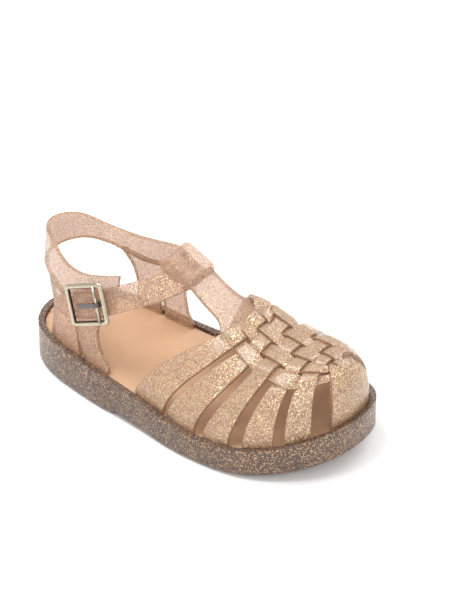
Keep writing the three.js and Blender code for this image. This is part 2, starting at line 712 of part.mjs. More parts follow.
const BAND_STEPS = 60;
const TAIL_ROUNDING_SHARE = 0.35;

function band() {
  const rows = [];
  for (let i = 0; i <= BAND_STEPS; i += 1) rows.push(i / BAND_STEPS);
  const tailStart = 1 - 1 / bandRows;
  return sheet(
    rows,
    BAND_COLUMNS,
    (t, c) => {
      const low = bandCurves.low.getPoint(t);
      const high = bandCurves.high.getPoint(t);
      const tail = Math.max(0, (t - tailStart) / (1 - tailStart));
      return low.lerp(high, THREE.MathUtils.lerp(c, 0.5, TAIL_ROUNDING_SHARE * tail * tail));
    },
    () => -BAND_WALL / 2,
    () => BAND_WALL / 2,
  );
}

const HALVINGS = 24;

function wallPoint(side, x, z) {
  // Wall between the foot line and the heel band, or its straight run on past the band's end.
  const curves = bandCurves;
  let low = (side < 0 ? 0 : HEEL_ROW) / bandRows;
  let high = (side < 0 ? HEEL_ROW : INNER_ROW) / bandRows;
  for (let i = 0; i < HALVINGS; i += 1) {
    const t = (low + high) / 2;
    const beyond = curves.low.getPoint(t).x > x;
    if (beyond === (side < 0)) low = t;
    else high = t;
  }
  const t = (low + high) / 2;
  const bandLow = curves.low.getPoint(t);
  const bandHigh = curves.high.getPoint(t);
  const foot = footAt(side, x / SOLE_LENGTH);
  const footZ = rimAt(x);
  if (z <= footZ) return new THREE.Vector3(x, foot.y, z);
  if (z < bandLow.z) {
    const rise = (z - footZ) / (bandLow.z - footZ);
    return new THREE.Vector3(x, THREE.MathUtils.lerp(foot.y, bandLow.y, rise), z);
  }
  const lean = (bandHigh.y - bandLow.y) / (bandHigh.z - bandLow.z);
  return new THREE.Vector3(x, bandLow.y + (z - bandLow.z) * lean, z);
}

function quarter(side, table, slot, grow = 0, outward = 0) {
  const seat = -1;
  const rows = [seat, ...table.map((row, i) => i)];
  const columns = [0, 0.25, 0.5, 0.75, 1];
  const solid = sheet(
    rows,
    columns,
    (i, c) => {
      const row = table[Math.max(i, 0)];
      const spread = (c - 0.5) * 2 * grow;
      const x = THREE.MathUtils.lerp(row.rear, row.front, c) * SOLE_LENGTH + spread;
      const z = i < 0 ? rimAt(x) - RECESS_DEPTH + FOOT_GAP - 2 * grow
        : Math.max(row.z * COLLAR_HEIGHT, rimAt(x));
      return wallPoint(side, x, z);
    },
    () => -QUARTER_WALL / 2 - (side < 0 ? grow : outward),
    () => QUARTER_WALL / 2 + (side < 0 ? outward : grow),
  );
  const bottom = rimAt(slot.foot * SOLE_LENGTH);
  const top = slot.top * COLLAR_HEIGHT;
  const foot = slot.foot * SOLE_LENGTH;
  const tip = slot.tip * SOLE_LENGTH;
  const wedge = new THREE.Shape([
    new THREE.Vector2(foot - SLOT_WIDTH / 2 + grow, bottom - RECESS_DEPTH),
    new THREE.Vector2(foot + SLOT_WIDTH / 2 - grow, bottom - RECESS_DEPTH),
    new THREE.Vector2(tip + SLOT_TIP_WIDTH / 2, top),
    new THREE.Vector2(tip, top + SLOT_TIP_WIDTH),
    new THREE.Vector2(tip - SLOT_TIP_WIDTH / 2, top),
  ]);
  const cutter = new THREE.ExtrudeGeometry(wedge, { depth: SOLE_WIDTH / 2, bevelEnabled: false });
  cutter.rotateX(Math.PI / 2);
  cutter.translate(0, side < 0 ? 0 : SOLE_WIDTH / 2, 0);
  return solid.subtract(toSolid(cutter));
}

// Buckle: its own flat frame of reference, laid on the strap

function buckleMatrix() {
  const t = BUCKLE_ROW / bandRows;
  const step = 0.5 / bandRows;
  const { low, high } = bandCurves;
  const centre = low.getPoint(t).add(high.getPoint(t)).multiplyScalar(0.5);
  const front = low.getPoint(t - step).add(high.getPoint(t - step));
  const rear = low.getPoint(t + step).add(high.getPoint(t + step));
  const forward = front.sub(rear).normalize();
  const up = high.getPoint(t).sub(low.getPoint(t)).normalize();
  const outward = forward.clone().cross(up).normalize();
  up.crossVectors(outward, forward);
  const lift = (BAND_WALL + BUCKLE_DEPTH) / 2;
  return new THREE.Matrix4().makeBasis(forward, up, outward)
    .setPosition(centre.addScaledVector(outward, lift).addScaledVector(up, BUCKLE_RAISE))
    .multiply(new THREE.Matrix4().makeRotationZ(THREE.MathUtils.degToRad(-BUCKLE_TURN)));
}

const EYE_RADIUS = HINGE_BAR / 2 + CLEARANCE + PRONG_WALL;
const HINGE_X = BUCKLE_LENGTH / 2 - BUCKLE_BAR - CLEARANCE - EYE_RADIUS;
const HINGE_LIFT = EYE_RADIUS - BUCKLE_DEPTH / 2;

function roundedRectangle(Path, length, height, corner) {
  const path = new Path();
  const x = length / 2;
  const y = height / 2;
  path.moveTo(-x + corner, -y);
  path.lineTo(x - corner, -y);
  path.absarc(x - corner, -y + corner, corner, -Math.PI / 2, 0, false);
  path.lineTo(x, y - corner);
  path.absarc(x - corner, y - corner, corner, 0, Math.PI / 2, false);
  path.lineTo(-x + corner, y);
  path.absarc(-x + corner, y - corner, corner, Math.PI / 2, Math.PI, false);
  path.lineTo(-x, -y + corner);
  path.absarc(-x + corner, -y + corner, corner, Math.PI, (3 * Math.PI) / 2, false);
  return path;
}

function buckleFrame() {
  const outer = roundedRectangle(THREE.Shape, BUCKLE_LENGTH, BUCKLE_HEIGHT, BUCKLE_CORNER);
  outer.holes.push(roundedRectangle(
    THREE.Path,
    BUCKLE_LENGTH - 2 * BUCKLE_BAR,
    BUCKLE_HEIGHT - 2 * BUCKLE_BAR,
    BUCKLE_CORNER / 3,
  ));
  const frame = new THREE.ExtrudeGeometry(outer, {
    depth: BUCKLE_DEPTH / 2,
    bevelEnabled: true,
    bevelSize: BUCKLE_DEPTH / 4,
    bevelThickness: BUCKLE_DEPTH / 4,
    bevelOffset: -BUCKLE_DEPTH / 4,
    bevelSegments: 1,
    curveSegments: 4,
  });
  frame.translate(0, 0, -BUCKLE_DEPTH / 4);
  const bar = new THREE.CylinderGeometry(HINGE_BAR / 2, HINGE_BAR / 2, BUCKLE_HEIGHT - BUCKLE_BAR, 12);
  bar.translate(HINGE_X, 0, HINGE_LIFT);
  return toSolid(frame).add(toSolid(bar)).transform(buckleMatrix().elements);
}

function buckleProng() {
  const boreRadius = EYE_RADIUS - PRONG_WALL;
  const eye = new THREE.CylinderGeometry(EYE_RADIUS, EYE_RADIUS, PRONG_WIDTH, 16);
  const bore = new THREE.CylinderGeometry(boreRadius, boreRadius, 2 * PRONG_WIDTH, 16);
  const tine = new THREE.BoxGeometry(PRONG_LENGTH, PRONG_WIDTH, PRONG_WALL);
  tine.translate(-PRONG_LENGTH / 2, 0, EYE_RADIUS - PRONG_WALL / 2);
  tine.rotateY(THREE.MathUtils.degToRad(-PRONG_DIP));
  const hinge = new THREE.Matrix4().makeTranslation(HINGE_X, 0, HINGE_LIFT);
  return toSolid(eye).add(toSolid(tine)).subtract(toSolid(bore))
    .transform(buckleMatrix().multiply(hinge).elements);
}

// Upper: straps, weave, toe cap, T-strap, loop, collar and ankle strap in one moulding

function upper() {
  const solids = [
    ...VAMP_STRAPS.map((edge, index) => vampStrap(index)),
    ...LENGTHWISE_STRIPS.map((strip) => lengthwiseStrip(strip)),
    toeCap(),
    tStrap(),
    loop(),
    band(),
    quarter(-1, OUTER_QUARTER, OUTER_SLOT),
    quarter(1, INNER_QUARTER, INNER_SLOT),
  ];
  return tidied(union(solids));
}

function insole() {
  const seat = (x) => rimAt(x) - RECESS_DEPTH + CLEARANCE;
  const top = (x) => rimAt(x) - INSOLE_DROP;
  const inset = RIM_WIDTH + CLEARANCE;
  const plate = toSolid(lofted([
    level(inset, seat),
    level(inset, (x) => top(x) - INSOLE_DROP),
    level(inset + INSOLE_DROP, top),
    level(inset + INSOLE_LIP, (x) => top(x) - INSOLE_DISH),
  ], STATIONS));
  const feet = union([
    ...VAMP_STRAPS.map((edge, index) => vampStrap(index, FOOT_GAP, RIM_WIDTH)),
    toeCap(FOOT_GAP, RIM_WIDTH),
    quarter(-1, OUTER_QUARTER, OUTER_SLOT, FOOT_GAP, RIM_WIDTH),
    quarter(1, INNER_QUARTER, INNER_SLOT, FOOT_GAP, RIM_WIDTH),
  ]);
  return tidied(plate.subtract(feet));
}

// Assembly

const COLOURS = {
  outsole: { color: 0x8d7662, roughness: 0.4, metalness: 0 },
  insole: { color: 0xd9ad89, roughness: 0.6, metalness: 0 },
  upper: { color: 0xcaa484, roughness: 0.3, metalness: 0 },
  buckle_frame: { color: 0xb9ab94, roughness: 0.3, metalness: 1 },
  buckle_prong: { color: 0x9a8f80, roughness: 0.35, metalness: 1 },
};

const HEEL_CENTRE = (UNDERSIDE.breast * SOLE_LENGTH) / 2;

const group = new THREE.Group();
group.name = 'jelly_sandal';

function addPart(name, solid) {
  const mesh = new THREE.Mesh(toGeometry(solid), new THREE.MeshStandardMaterial(COLOURS[name]));
  mesh.name = name;
  mesh.position.set(-HEEL_CENTRE, 0, 0);
  group.add(mesh);
}

addPart('outsole', outsole());
addPart('insole', insole());
addPart('upper', upper());
addPart('buckle_frame', buckleFrame());
addPart('buckle_prong', buckleProng());

export default group;
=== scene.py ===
"""Jelly sandal, right shoe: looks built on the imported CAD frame.

+X runs from heel to toe, +Y is the inner side, +Z is up and the sole stands on z = 0.
"""

import math

import bmesh
import bpy
from bpy.props import FloatProperty, FloatVectorProperty, PointerProperty
from mathutils import Matrix, Vector


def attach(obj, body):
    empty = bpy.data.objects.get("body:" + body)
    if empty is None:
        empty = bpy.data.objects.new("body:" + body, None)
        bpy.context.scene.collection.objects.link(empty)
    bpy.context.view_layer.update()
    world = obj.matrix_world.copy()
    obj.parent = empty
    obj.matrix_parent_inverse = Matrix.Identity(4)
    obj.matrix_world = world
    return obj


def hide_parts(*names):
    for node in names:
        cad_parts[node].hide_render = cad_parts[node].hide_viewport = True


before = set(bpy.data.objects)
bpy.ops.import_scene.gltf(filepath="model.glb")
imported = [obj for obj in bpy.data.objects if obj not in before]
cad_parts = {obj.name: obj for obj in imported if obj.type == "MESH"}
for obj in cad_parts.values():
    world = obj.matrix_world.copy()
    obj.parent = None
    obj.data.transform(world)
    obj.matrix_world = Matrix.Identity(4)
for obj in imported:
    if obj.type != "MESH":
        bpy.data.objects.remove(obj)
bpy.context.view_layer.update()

bl_info = {
    "name": "Jelly Sandal",
    "version": (1, 0, 0),
    "blender": (4, 5, 0),
    "location": "View3D > Sidebar > Sandal",
    "description": "Builds a moulded glitter sandal with a woven vamp and a buckled ankle strap",
    "category": "Add Mesh",
}

BODY = "root"
MM = 0.001

# Sizes in millimetres, as in the part's source; shares and degrees where the name says so

SOLE_LENGTH = 165.0
SOLE_WIDTH = 76.0
HEEL_HEIGHT = 18.5
TOE_SPRING = 8.2
BREAST_STEP = 1.8
SOLE_EDGE = 1.6
RIM_WIDTH = 2.8
RECESS_DEPTH = 3.2
INSOLE_DROP = 0.5
INSOLE_DISH = 0.7
INSOLE_WALL = 1.8
INSOLE_EDGE = 0.3
INSOLE_LIP = (0.8, 2.0, 5.0)
CLEARANCE = 0.3
UPPER_WALL = 2.3
QUARTER_WALL = 2.1
QUARTER_LAP = 1.2
QUARTER_EDGE = 0.4
SLOT_WIDTH = 2.6
SLOT_TAPER = 0.8
VAMP_HEIGHT = 46.5
STRIP_WIDTH = 5.8
STRIP_PITCH = 6.9
CAP_LIFT = 0.35
COLLAR_HEIGHT = 60.0
COLLAR_WIDTH = 40.0
T_STRAP_WIDTH = 16.5
T_STRAP_WALL = 2.4
THROAT_DROP = 0.4
LOOP = {"x_share": 0.455, "z_share": 1.054, "fall_degrees": 24}
LOOP_GROOVE = {"length": 10.0, "width": 2.8, "depth": 0.8, "lip": 1.1}
BUCKLE = {"length": 19.5, "height": 19.0, "bar": 2.3, "depth": 1.8, "corner": 2.6,
          "turn_degrees": 0.8, "raise": 0.8, "hinge_bar": 1.5, "prong_wall": 0.7}
UNDERSIDE_SHARES = {"breast": 0.364, "ball": 0.55, "roll": 0.68}
HEEL_CENTRE = UNDERSIDE_SHARES["breast"] * SOLE_LENGTH / 2

# Sole outline from the heel round the outer side to the toe and back: shares of length and width
OUTLINE = [
    (0, 0), (0.035, -0.195), (0.113, -0.311), (0.272, -0.4), (0.452, -0.455), (0.635, -0.51),
    (0.792, -0.48), (0.91, -0.335), (0.978, -0.143), (1, 0.066), (0.979, 0.266), (0.887, 0.44),
    (0.727, 0.483), (0.545, 0.408), (0.364, 0.353), (0.212, 0.346), (0.085, 0.292), (0.021, 0.154),
]
TOE_ROW = 9
OUTLINE_SAMPLES = 720
SOLE_STATIONS = 60
FOOT_STATIONS = 30

# Rim height over the floor, as a share of HEEL_HEIGHT
RIM = {
    "x": (0, 0.242, 0.485, 0.667, 0.836, 1),
    "rim": (0.99, 1.01, 0.835, 0.685, 0.81, 1.26),
}

# Ridge of the vamp: y a share of SOLE_WIDTH, z of VAMP_HEIGHT, and the power of its rounded
# cross-section on the outer and inner side
RIDGE = {
    "x": (0.5, 0.545, 0.582, 0.62, 0.66, 0.7, 0.75, 0.83, 0.9, 1),
    "y": (0.04, 0.04, 0.04, 0.045, 0.051, 0.04, 0.025, 0.011, 0.015, 0.018),
    "z": (1.32, 1.245, 1.196, 1.16, 1.112, 1.04, 1, 0.976, 0.976, 0.972),
    "outer": (1.48, 1.51, 1.52, 1.5, 1.53, 1.54, 1.64, 2, 2.5, 2.95),
    "inner": (1.3, 1.75, 2.25, 2.7, 2.95, 2.92, 2.86, 2.86, 2.9, 2.95),
}

# Fan of strap edges: outer foot, inner foot, ridge, pitch of the lengthwise strips, bow
FAN = [
    (0.434, 0.464, 0.652, 0.815, 2.09),
    (0.536, 0.565, 0.688, 0.87, 2.24),
    (0.55, 0.578, 0.702, 0.92, 2.32),
    (0.645, 0.668, 0.741, 0.97, 2.34),
    (0.675, 0.695, 0.761, 1.02, 2.35),
    (0.754, 0.77, 0.806, 1.06, 2.32),
    (0.794, 0.806, 0.825, 1.09, 2.3),
    (0.871, 0.879, 0.862, 1.1, 2.25),
    (0.896, 0.902, 0.876, 1.08, 2.23),
    (0.947, 0.951, 0.906, 1.02, 2.22),
    (0.98, 0.982, 0.914, 0.98, 1.5),
    (1, 1, 0.932, 0.95, 2.2),
]
VAMP_STRAPS = (0, 2, 4, 6, 8)
CAP_ROW = 10
TIP_ROW = 11
LENGTHWISE_STRIPS = (-2, -1, 0, 1, 2)

# Weave: the straps lie flat beyond LAST_FLAT_COUNT strips from the ridge and end at WEAVE_END_COUNT,
# which never lies further out than WEAVE_END_SHARE of the way from ridge to foot
LAST_FLAT_COUNT = 2.3
WEAVE_END_COUNT = 2.75
WEAVE_END_SHARE = 0.74
SIDE_END = 1 + (RECESS_DEPTH - CLEARANCE) / RECESS_DEPTH

# Band, low and high edge: x a share of SOLE_LENGTH, y of COLLAR_WIDTH, z of COLLAR_HEIGHT
BAND = [
    (0.34, -0.57, 0.79, 0.342, -0.47, 1.045),
    (0.283, -0.585, 0.735, 0.285, -0.51, 1.0),
    (0.232, -0.57, 0.71, 0.232, -0.515, 0.965),
    (0.178, -0.525, 0.705, 0.178, -0.47, 0.952),
    (0.127, -0.45, 0.715, 0.129, -0.395, 0.975),
    (0.078, -0.335, 0.745, 0.08, -0.27, 1.01),
    (0.033, -0.175, 0.765, 0.033, -0.12, 1.022),
    (0.014, 0.03, 0.775, 0.014, 0.04, 1.028),
    (0.028, 0.23, 0.79, 0.031, 0.2, 1.035),
    (0.066, 0.37, 0.805, 0.068, 0.33, 1.015),
    (0.121, 0.465, 0.785, 0.121, 0.425, 0.958),
    (0.176, 0.52, 0.74, 0.176, 0.465, 0.935),
    (0.232, 0.535, 0.715, 0.23, 0.47, 0.94),
    (0.29, 0.525, 0.74, 0.282, 0.45, 0.968),
    (0.355, 0.47, 0.8, 0.33, 0.4, 1.01),
    (0.43, 0.37, 0.89, 0.385, 0.33, 1.055),
    (0.48, 0.25, 0.965, 0.415, 0.24, 1.06),
    (0.49, 0.06, 0.975, 0.42, 0.06, 1.05),
    (0.487, -0.14, 0.955, 0.42, -0.14, 1.035),
    (0.452, -0.3, 0.9, 0.4, -0.235, 1.015),
    (0.407, -0.435, 0.84, 0.372, -0.335, 0.99),
    (0.335, -0.61, 0.755, 0.335, -0.52, 0.965),
    (0.275, -0.685, 0.69, 0.275, -0.625, 0.895),
    (0.21, -0.68, 0.635, 0.21, -0.625, 0.83),
    (0.155, -0.635, 0.595, 0.155, -0.575, 0.75),
]
BAND_ROWS = len(BAND) - 1
HEEL_ROW = 7
INNER_ROW = 15
BUCKLE_ROW = 22
HALVINGS = 24

# Quarters: height as a share of COLLAR_HEIGHT, rear and front edge as shares of SOLE_LENGTH
OUTER_QUARTER = {
    "x": (0.32, 0.4, 0.48, 0.57, 0.65, 0.72, 0.8),
    "rear": (0.108, 0.112, 0.115, 0.116, 0.105, 0.088, 0.085),
    "front": (0.338, 0.312, 0.297, 0.29, 0.295, 0.312, 0.33),
}
INNER_QUARTER = {
    "x": (0.32, 0.4, 0.48, 0.57, 0.65, 0.72, 0.8, 0.85),
    "rear": (0.203, 0.205, 0.205, 0.2, 0.188, 0.165, 0.15, 0.15),
    "front": (0.382, 0.372, 0.37, 0.37, 0.373, 0.372, 0.373, 0.385),
}
# Slot in each quarter: foot and tip along the sole, and the tip's height
OUTER_SLOT = (0.237, 0.21, 0.56)
INNER_SLOT = (0.288, 0.28, 0.6)

# T-strap from the throat up: share of SOLE_LENGTH, of the climb to the loop, of T_STRAP_WIDTH on
# either side, and of the fall that the vamp has there
T_STRAP = {
    "x": (0, 1, 2, 3, 4, 5, 6, 7, 8),
    "along": (0.664, 0.645, 0.628, 0.614, 0.6, 0.58, 0.545, 0.515, 0.49),
    "rise": (0, 0.025, 0.057, 0.098, 0.147, 0.237, 0.474, 0.743, 0.98),
    "half": (0.72, 0.82, 0.86, 0.74, 0.6, 0.54, 0.52, 0.5, 0.5),
    "fall": (1, 1, 0.95, 0.85, 0.7, 0.5, 0.32, 0.2, 0.12),
}


# Curves

def lerp(a, b, t):
    return a + (b - a) * t


def clamp(value, low, high):
    return max(low, min(high, value))


def smooth(t):
    t = clamp(t, 0, 1)
    return t * t * (3 - 2 * t)


def sample(table, column, at):
    """Catmull-Rom through the rows of a table whose x column rises."""
    xs, ys = table["x"], table[column]
    last = len(xs) - 1
    row = 0
    while row < last - 1 and at > xs[row + 1]:
        row += 1
    before, after = max(row - 1, 0), min(row + 2, last)
    span = xs[row + 1] - xs[row]
    t = clamp((at - xs[row]) / span, 0, 1)
    slope_in = (ys[row + 1] - ys[before]) / (xs[row + 1] - xs[before]) * span
    slope_out = (ys[after] - ys[row]) / (xs[after] - xs[row]) * span
    return ((2 * t ** 3 - 3 * t ** 2 + 1) * ys[row] + (t ** 3 - 2 * t ** 2 + t) * slope_in
            + (3 * t ** 2 - 2 * t ** 3) * ys[row + 1] + (t ** 3 - t ** 2) * slope_out)


def mixed_row(table, position):
    row = int(clamp(math.floor(position), 0, len(table) - 2))
    return [lerp(a, b, position - row) for a, b in zip(table[row], table[row + 1])]


def spline_point(points, t, closed=False):
    """Centripetal Catmull-Rom through the points; t runs from 0 to 1."""
    count = len(points)
    position = t * (count if closed else count - 1)
    index = int(math.floor(position))
    if not closed:
        index = min(index, count - 2)
    weight = position - index

    def at(i):
        if closed:
            return points[i % count]
        if i < 0:
            return points[0] * 2 - points[1]
        if i >= count:
            return points[-1] * 2 - points[-2]
        return points[i]

    p0, p1, p2, p3 = (at(index + k) for k in (-1, 0, 1, 2))
    d0, d1, d2 = ((b - a).length ** 0.5 for a, b in ((p0, p1), (p1, p2), (p2, p3)))
    d0, d2 = d0 or d1, d2 or d1
    into = ((p1 - p0) / d0 - (p2 - p0) / (d0 + d1) + (p2 - p1) / d1) * d1
    out = ((p2 - p1) / d1 - (p3 - p1) / (d1 + d2) + (p3 - p2) / d2) * d1
    w2, w3 = weight * weight, weight ** 3
    return (p1 * (2 * w3 - 3 * w2 + 1) + into * (w3 - 2 * w2 + weight)
            + p2 * (3 * w2 - 2 * w3) + out * (w3 - w2))


def rim_at(x):
    return sample(RIM, "rim", x / SOLE_LENGTH) * HEEL_HEIGHT


def ridge_y(share):
    return sample(RIDGE, "y", share) * SOLE_WIDTH


def underside_at(x):
    roll = max(0.0, (x / SOLE_LENGTH - UNDERSIDE_SHARES["roll"]) / (1 - UNDERSIDE_SHARES["roll"]))
    return TOE_SPRING * roll * roll


outline_points = [Vector((x * SOLE_LENGTH, y * SOLE_WIDTH, 0)) for x, y in OUTLINE]
outline_line = [spline_point(outline_points, i / OUTLINE_SAMPLES, closed=True)
                for i in range(OUTLINE_SAMPLES + 1)]
toe_sample = round(OUTLINE_SAMPLES * TOE_ROW / len(OUTLINE))
outer_line = outline_line[:toe_sample + 1]
inner_line = outline_line[toe_sample:][::-1]


def line_y(line, x):
    low, high = 0, len(line) - 1
    while high - low > 1:
        middle = (low + high) // 2
        if line[middle].x < x:
            low = middle
        else:
            high = middle
    span = line[high].x - line[low].x
    t = clamp((x - line[low].x) / span, 0, 1) if span > 0 else 0
    return lerp(line[low].y, line[high].y, t)


def outline_ring(inset, stations):
    """Heel, outer side, toe and inner side back to the heel, moved inwards by inset."""
    start, end = outer_line[0].x, outer_line[-1].x
    xs = [start + (end - start) * (1 - math.cos(math.pi * i / stations)) / 2
          for i in range(stations + 1)]
    ring = [Vector((x, line_y(outer_line, x), 0)) for x in xs]
    ring += [Vector((x, line_y(inner_line, x), 0)) for x in xs[-2:0:-1]]
    moved = []
    for i, point in enumerate(ring):
        along = (ring[(i + 1) % len(ring)] - ring[i - 1]).normalized()
        moved.append(Vector((point.x - along.y * inset, point.y + along.x * inset, 0)))
    return moved


foot_ring = outline_ring(RIM_WIDTH + CLEARANCE + UPPER_WALL / 2, FOOT_STATIONS)
outer_foot = foot_ring[:FOOT_STATIONS + 1]
inner_foot = [foot_ring[0]] + foot_ring[FOOT_STATIONS:][::-1]


def foot_at(side, x):
    line = outer_foot if side < 0 else inner_foot
    x = clamp(x, line[0].x, line[-1].x)
    return Vector((x, line_y(line, x), 0))


def foot_by_fan(side, share):
    line = outer_foot if side < 0 else inner_foot
    if share >= 1:
        return line[-1].copy()
    position = math.acos(1 - 2 * share) / math.pi * FOOT_STATIONS
    index = min(int(position), FOOT_STATIONS - 1)
    return line[index].lerp(line[index + 1], position - index)


def vamp_point(edge, across):
    """Middle surface of the vamp: edge counts rows of the fan, across runs from ridge to foot."""
    side = -1 if across < 0 else 1
    outer, inner, ridge, _pitch, bow = mixed_row(FAN, min(edge, TIP_ROW))
    foot = foot_by_fan(side, outer if side < 0 else inner)
    share = min(abs(across), 1)
    x = lerp(ridge * SOLE_LENGTH, foot.x, share ** bow)
    y = lerp(ridge_y(ridge), foot.y, share)
    rim = rim_at(foot.x)
    power = sample(RIDGE, "outer" if side < 0 else "inner", x / SOLE_LENGTH)
    top = sample(RIDGE, "z", x / SOLE_LENGTH) * VAMP_HEIGHT - UPPER_WALL / 2
    rise = (1 - share ** power) ** (1 / power)
    sunk = max(0, abs(across) - 1) * RECESS_DEPTH
    return Vector((x, y, rim + (top - rim) * rise - sunk))


def reach_at(edge, side):
    outer, inner, ridge, *_rest = mixed_row(FAN, edge)
    return abs(foot_by_fan(side, outer if side < 0 else inner).y - ridge_y(ridge))


def across_step(edge, side):
    """Share of the way from ridge to foot that one strip of the weave takes."""
    *_foot_and_ridge, pitch, _bow = mixed_row(FAN, edge)
    return min(pitch * STRIP_PITCH / reach_at(edge, side), WEAVE_END_SHARE / WEAVE_END_COUNT)


band_low = [Vector((x * SOLE_LENGTH, y * COLLAR_WIDTH, z * COLLAR_HEIGHT)) for x, y, z, *_ in BAND]
band_high = [Vector((x * SOLE_LENGTH, y * COLLAR_WIDTH, z * COLLAR_HEIGHT)) for *_, x, y, z in BAND]


def band_point(t, c):
    return spline_point(band_low, t).lerp(spline_point(band_high, t), c)


def band_over(side, x):
    """Low and high edge of the heel band at that length of the sole."""
    low, high = (0, HEEL_ROW) if side < 0 else (HEEL_ROW, INNER_ROW)
    low, high = low / BAND_ROWS, high / BAND_ROWS
    for _ in range(HALVINGS):
        t = (low + high) / 2
        if (spline_point(band_low, t).x > x) == (side < 0):
            low = t
        else:
            high = t
    return spline_point(band_low, t), spline_point(band_high, t)


def wall_point(side, x, z):
    """Wall between the foot line and the band, and its straight run on up behind the band."""
    bottom, top = band_over(side, x)
    foot = foot_at(side, x)
    foot_z = rim_at(x)
    if z <= foot_z:
        return Vector((x, foot.y, z))
    if z < bottom.z:
        return Vector((x, lerp(foot.y, bottom.y, (z - foot_z) / (bottom.z - foot_z)), z))
    return Vector((x, bottom.y + (z - bottom.z) * (top.y - bottom.y) / (top.z - bottom.z), z))


# Sizes and colours a user would change

class SandalSizes(bpy.types.PropertyGroup):
    """Sizes of the sandal's wall, weave and edges"""

    wall: FloatProperty(name="Strap wall", description="Thickness of the moulded straps",
                        default=UPPER_WALL * MM, unit="LENGTH")
    weave_lift: FloatProperty(name="Weave lift", description="Rise and fall of the woven strips",
                              default=0.95 * MM, unit="LENGTH")
    edge_round: FloatProperty(name="Edge rounding", description="Rounding of the strap edges",
                              default=0.55 * MM, unit="LENGTH")
    loop_length: FloatProperty(name="Loop length", description="Length of the loop over the instep",
                               default=18.5 * MM, unit="LENGTH")
    loop_thickness: FloatProperty(name="Loop thickness", description="Thickness of the loop",
                                  default=8.4 * MM, unit="LENGTH")
    sole_round: FloatProperty(name="Sole rounding", description="Rounding of the rim's edges",
                              default=0.7 * MM, unit="LENGTH")


class SandalColours(bpy.types.PropertyGroup):
    """Colours of the sandal, linear"""

    jelly: FloatVectorProperty(name="Jelly", description="Tint of the translucent plastic",
                               default=(0.585, 0.405, 0.325), subtype="COLOR", size=3)
    vamp: FloatVectorProperty(name="Vamp", description="Warmer, denser plastic over the toes",
                              default=(0.5, 0.308, 0.202), subtype="COLOR", size=3)
    glitter: FloatVectorProperty(name="Glitter", description="Colour of the gold flakes",
                                 default=(0.95, 0.76, 0.5), subtype="COLOR", size=3)
    sole: FloatVectorProperty(name="Sole", description="Tint of the sole between its flakes",
                              default=(0.105, 0.06, 0.041), subtype="COLOR", size=3)
    sole_glitter: FloatVectorProperty(name="Sole glitter", description="Duller flakes in the sole",
                                      default=(0.58, 0.4, 0.25), subtype="COLOR", size=3)
    insole: FloatVectorProperty(name="Insole", description="Plain tan of the insole",
                                default=(0.593, 0.367, 0.223), subtype="COLOR", size=3)
    metal: FloatVectorProperty(name="Buckle", description="Pale champagne metal",
                               default=(0.55, 0.48, 0.37), subtype="COLOR", size=3)
    prong: FloatVectorProperty(name="Prong", description="Darker metal of the prong",
                               default=(0.16, 0.14, 0.14), subtype="COLOR", size=3)
    floor: FloatVectorProperty(name="Floor", description="Plain studio floor",
                               default=(0.95, 0.95, 0.95), subtype="COLOR", size=3)


def sizes():
    return bpy.context.scene.sandal_sizes


def colours():
    return bpy.context.scene.sandal_colours


# Materials

# Vertex attribute that carries the painted shade on the buckle's inner edges
PAINTED_SHADE = "painted_shade"


class Recipe:
    """A material's node tree with short calls to add and link nodes."""

    def __init__(self, name):
        self.material = bpy.data.materials.new(name)
        self.material.use_nodes = True
        self.tree = self.material.node_tree
        self.tree.nodes.clear()
        self.output = self.add("ShaderNodeOutputMaterial")
        self.coords = self.add("ShaderNodeTexCoord").outputs["Object"]

    def add(self, kind, **settings):
        node = self.tree.nodes.new(kind)
        for key, value in settings.items():
            setattr(node, key, value)
        return node

    def link(self, source, target):
        self.tree.links.new(source, target)

    def noise(self, scale, detail=2.0, roughness=0.5):
        node = self.add("ShaderNodeTexNoise")
        self.link(self.coords, node.inputs["Vector"])
        node.inputs["Scale"].default_value = scale
        node.inputs["Detail"].default_value = detail
        node.inputs["Roughness"].default_value = roughness
        return node.outputs["Fac"]

    def cells(self, size):
        """Voronoi cells of about that size in metres, one per glitter flake."""
        node = self.add("ShaderNodeTexVoronoi")
        self.link(self.coords, node.inputs["Vector"])
        node.inputs["Scale"].default_value = 1 / size
        return node

    def ramp(self, source, stops):
        node = self.add("ShaderNodeValToRGB")
        self.link(source, node.inputs["Fac"])
        elements = node.color_ramp.elements
        while len(elements) < len(stops):
            elements.new(0.5)
        for element, (position, colour) in zip(elements, stops):
            element.position = position
            element.color = (*colour, 1)
        return node.outputs["Color"]

    def mix(self, factor, a, b):
        """Blend of two colours; the node's colour sockets are its inputs 6 and 7 and its output 2."""
        node = self.add("ShaderNodeMix", data_type="RGBA")
        self.link(factor, node.inputs["Factor"])
        for socket, value in ((node.inputs[6], a), (node.inputs[7], b)):
            if hasattr(value, "links"):
                self.link(value, socket)
            else:
                socket.default_value = (*value, 1)
        return node.outputs[2]

    def surface(self, socket):
        self.link(socket, self.output.inputs["Surface"])
        return self.material


def flake_normals(recipe, cells, tilt):
    """Surface normal turned a little, differently for each flake."""
    centred = recipe.add("ShaderNodeVectorMath", operation="SUBTRACT")
    recipe.link(cells.outputs["Color"], centred.inputs[0])
    centred.inputs[1].default_value = (0.5, 0.5, 0.5)
    turned = recipe.add("ShaderNodeVectorMath", operation="SCALE")
    recipe.link(centred.outputs[0], turned.inputs[0])
    turned.inputs["Scale"].default_value = tilt
    total = recipe.add("ShaderNodeVectorMath", operation="ADD")
    recipe.link(turned.outputs[0], total.inputs[0])
    recipe.link(recipe.add("ShaderNodeNewGeometry").outputs["Normal"], total.inputs[1])
    unit = recipe.add("ShaderNodeVectorMath", operation="NORMALIZE")
    recipe.link(total.outputs[0], unit.inputs[0])
    return unit.outputs[0]


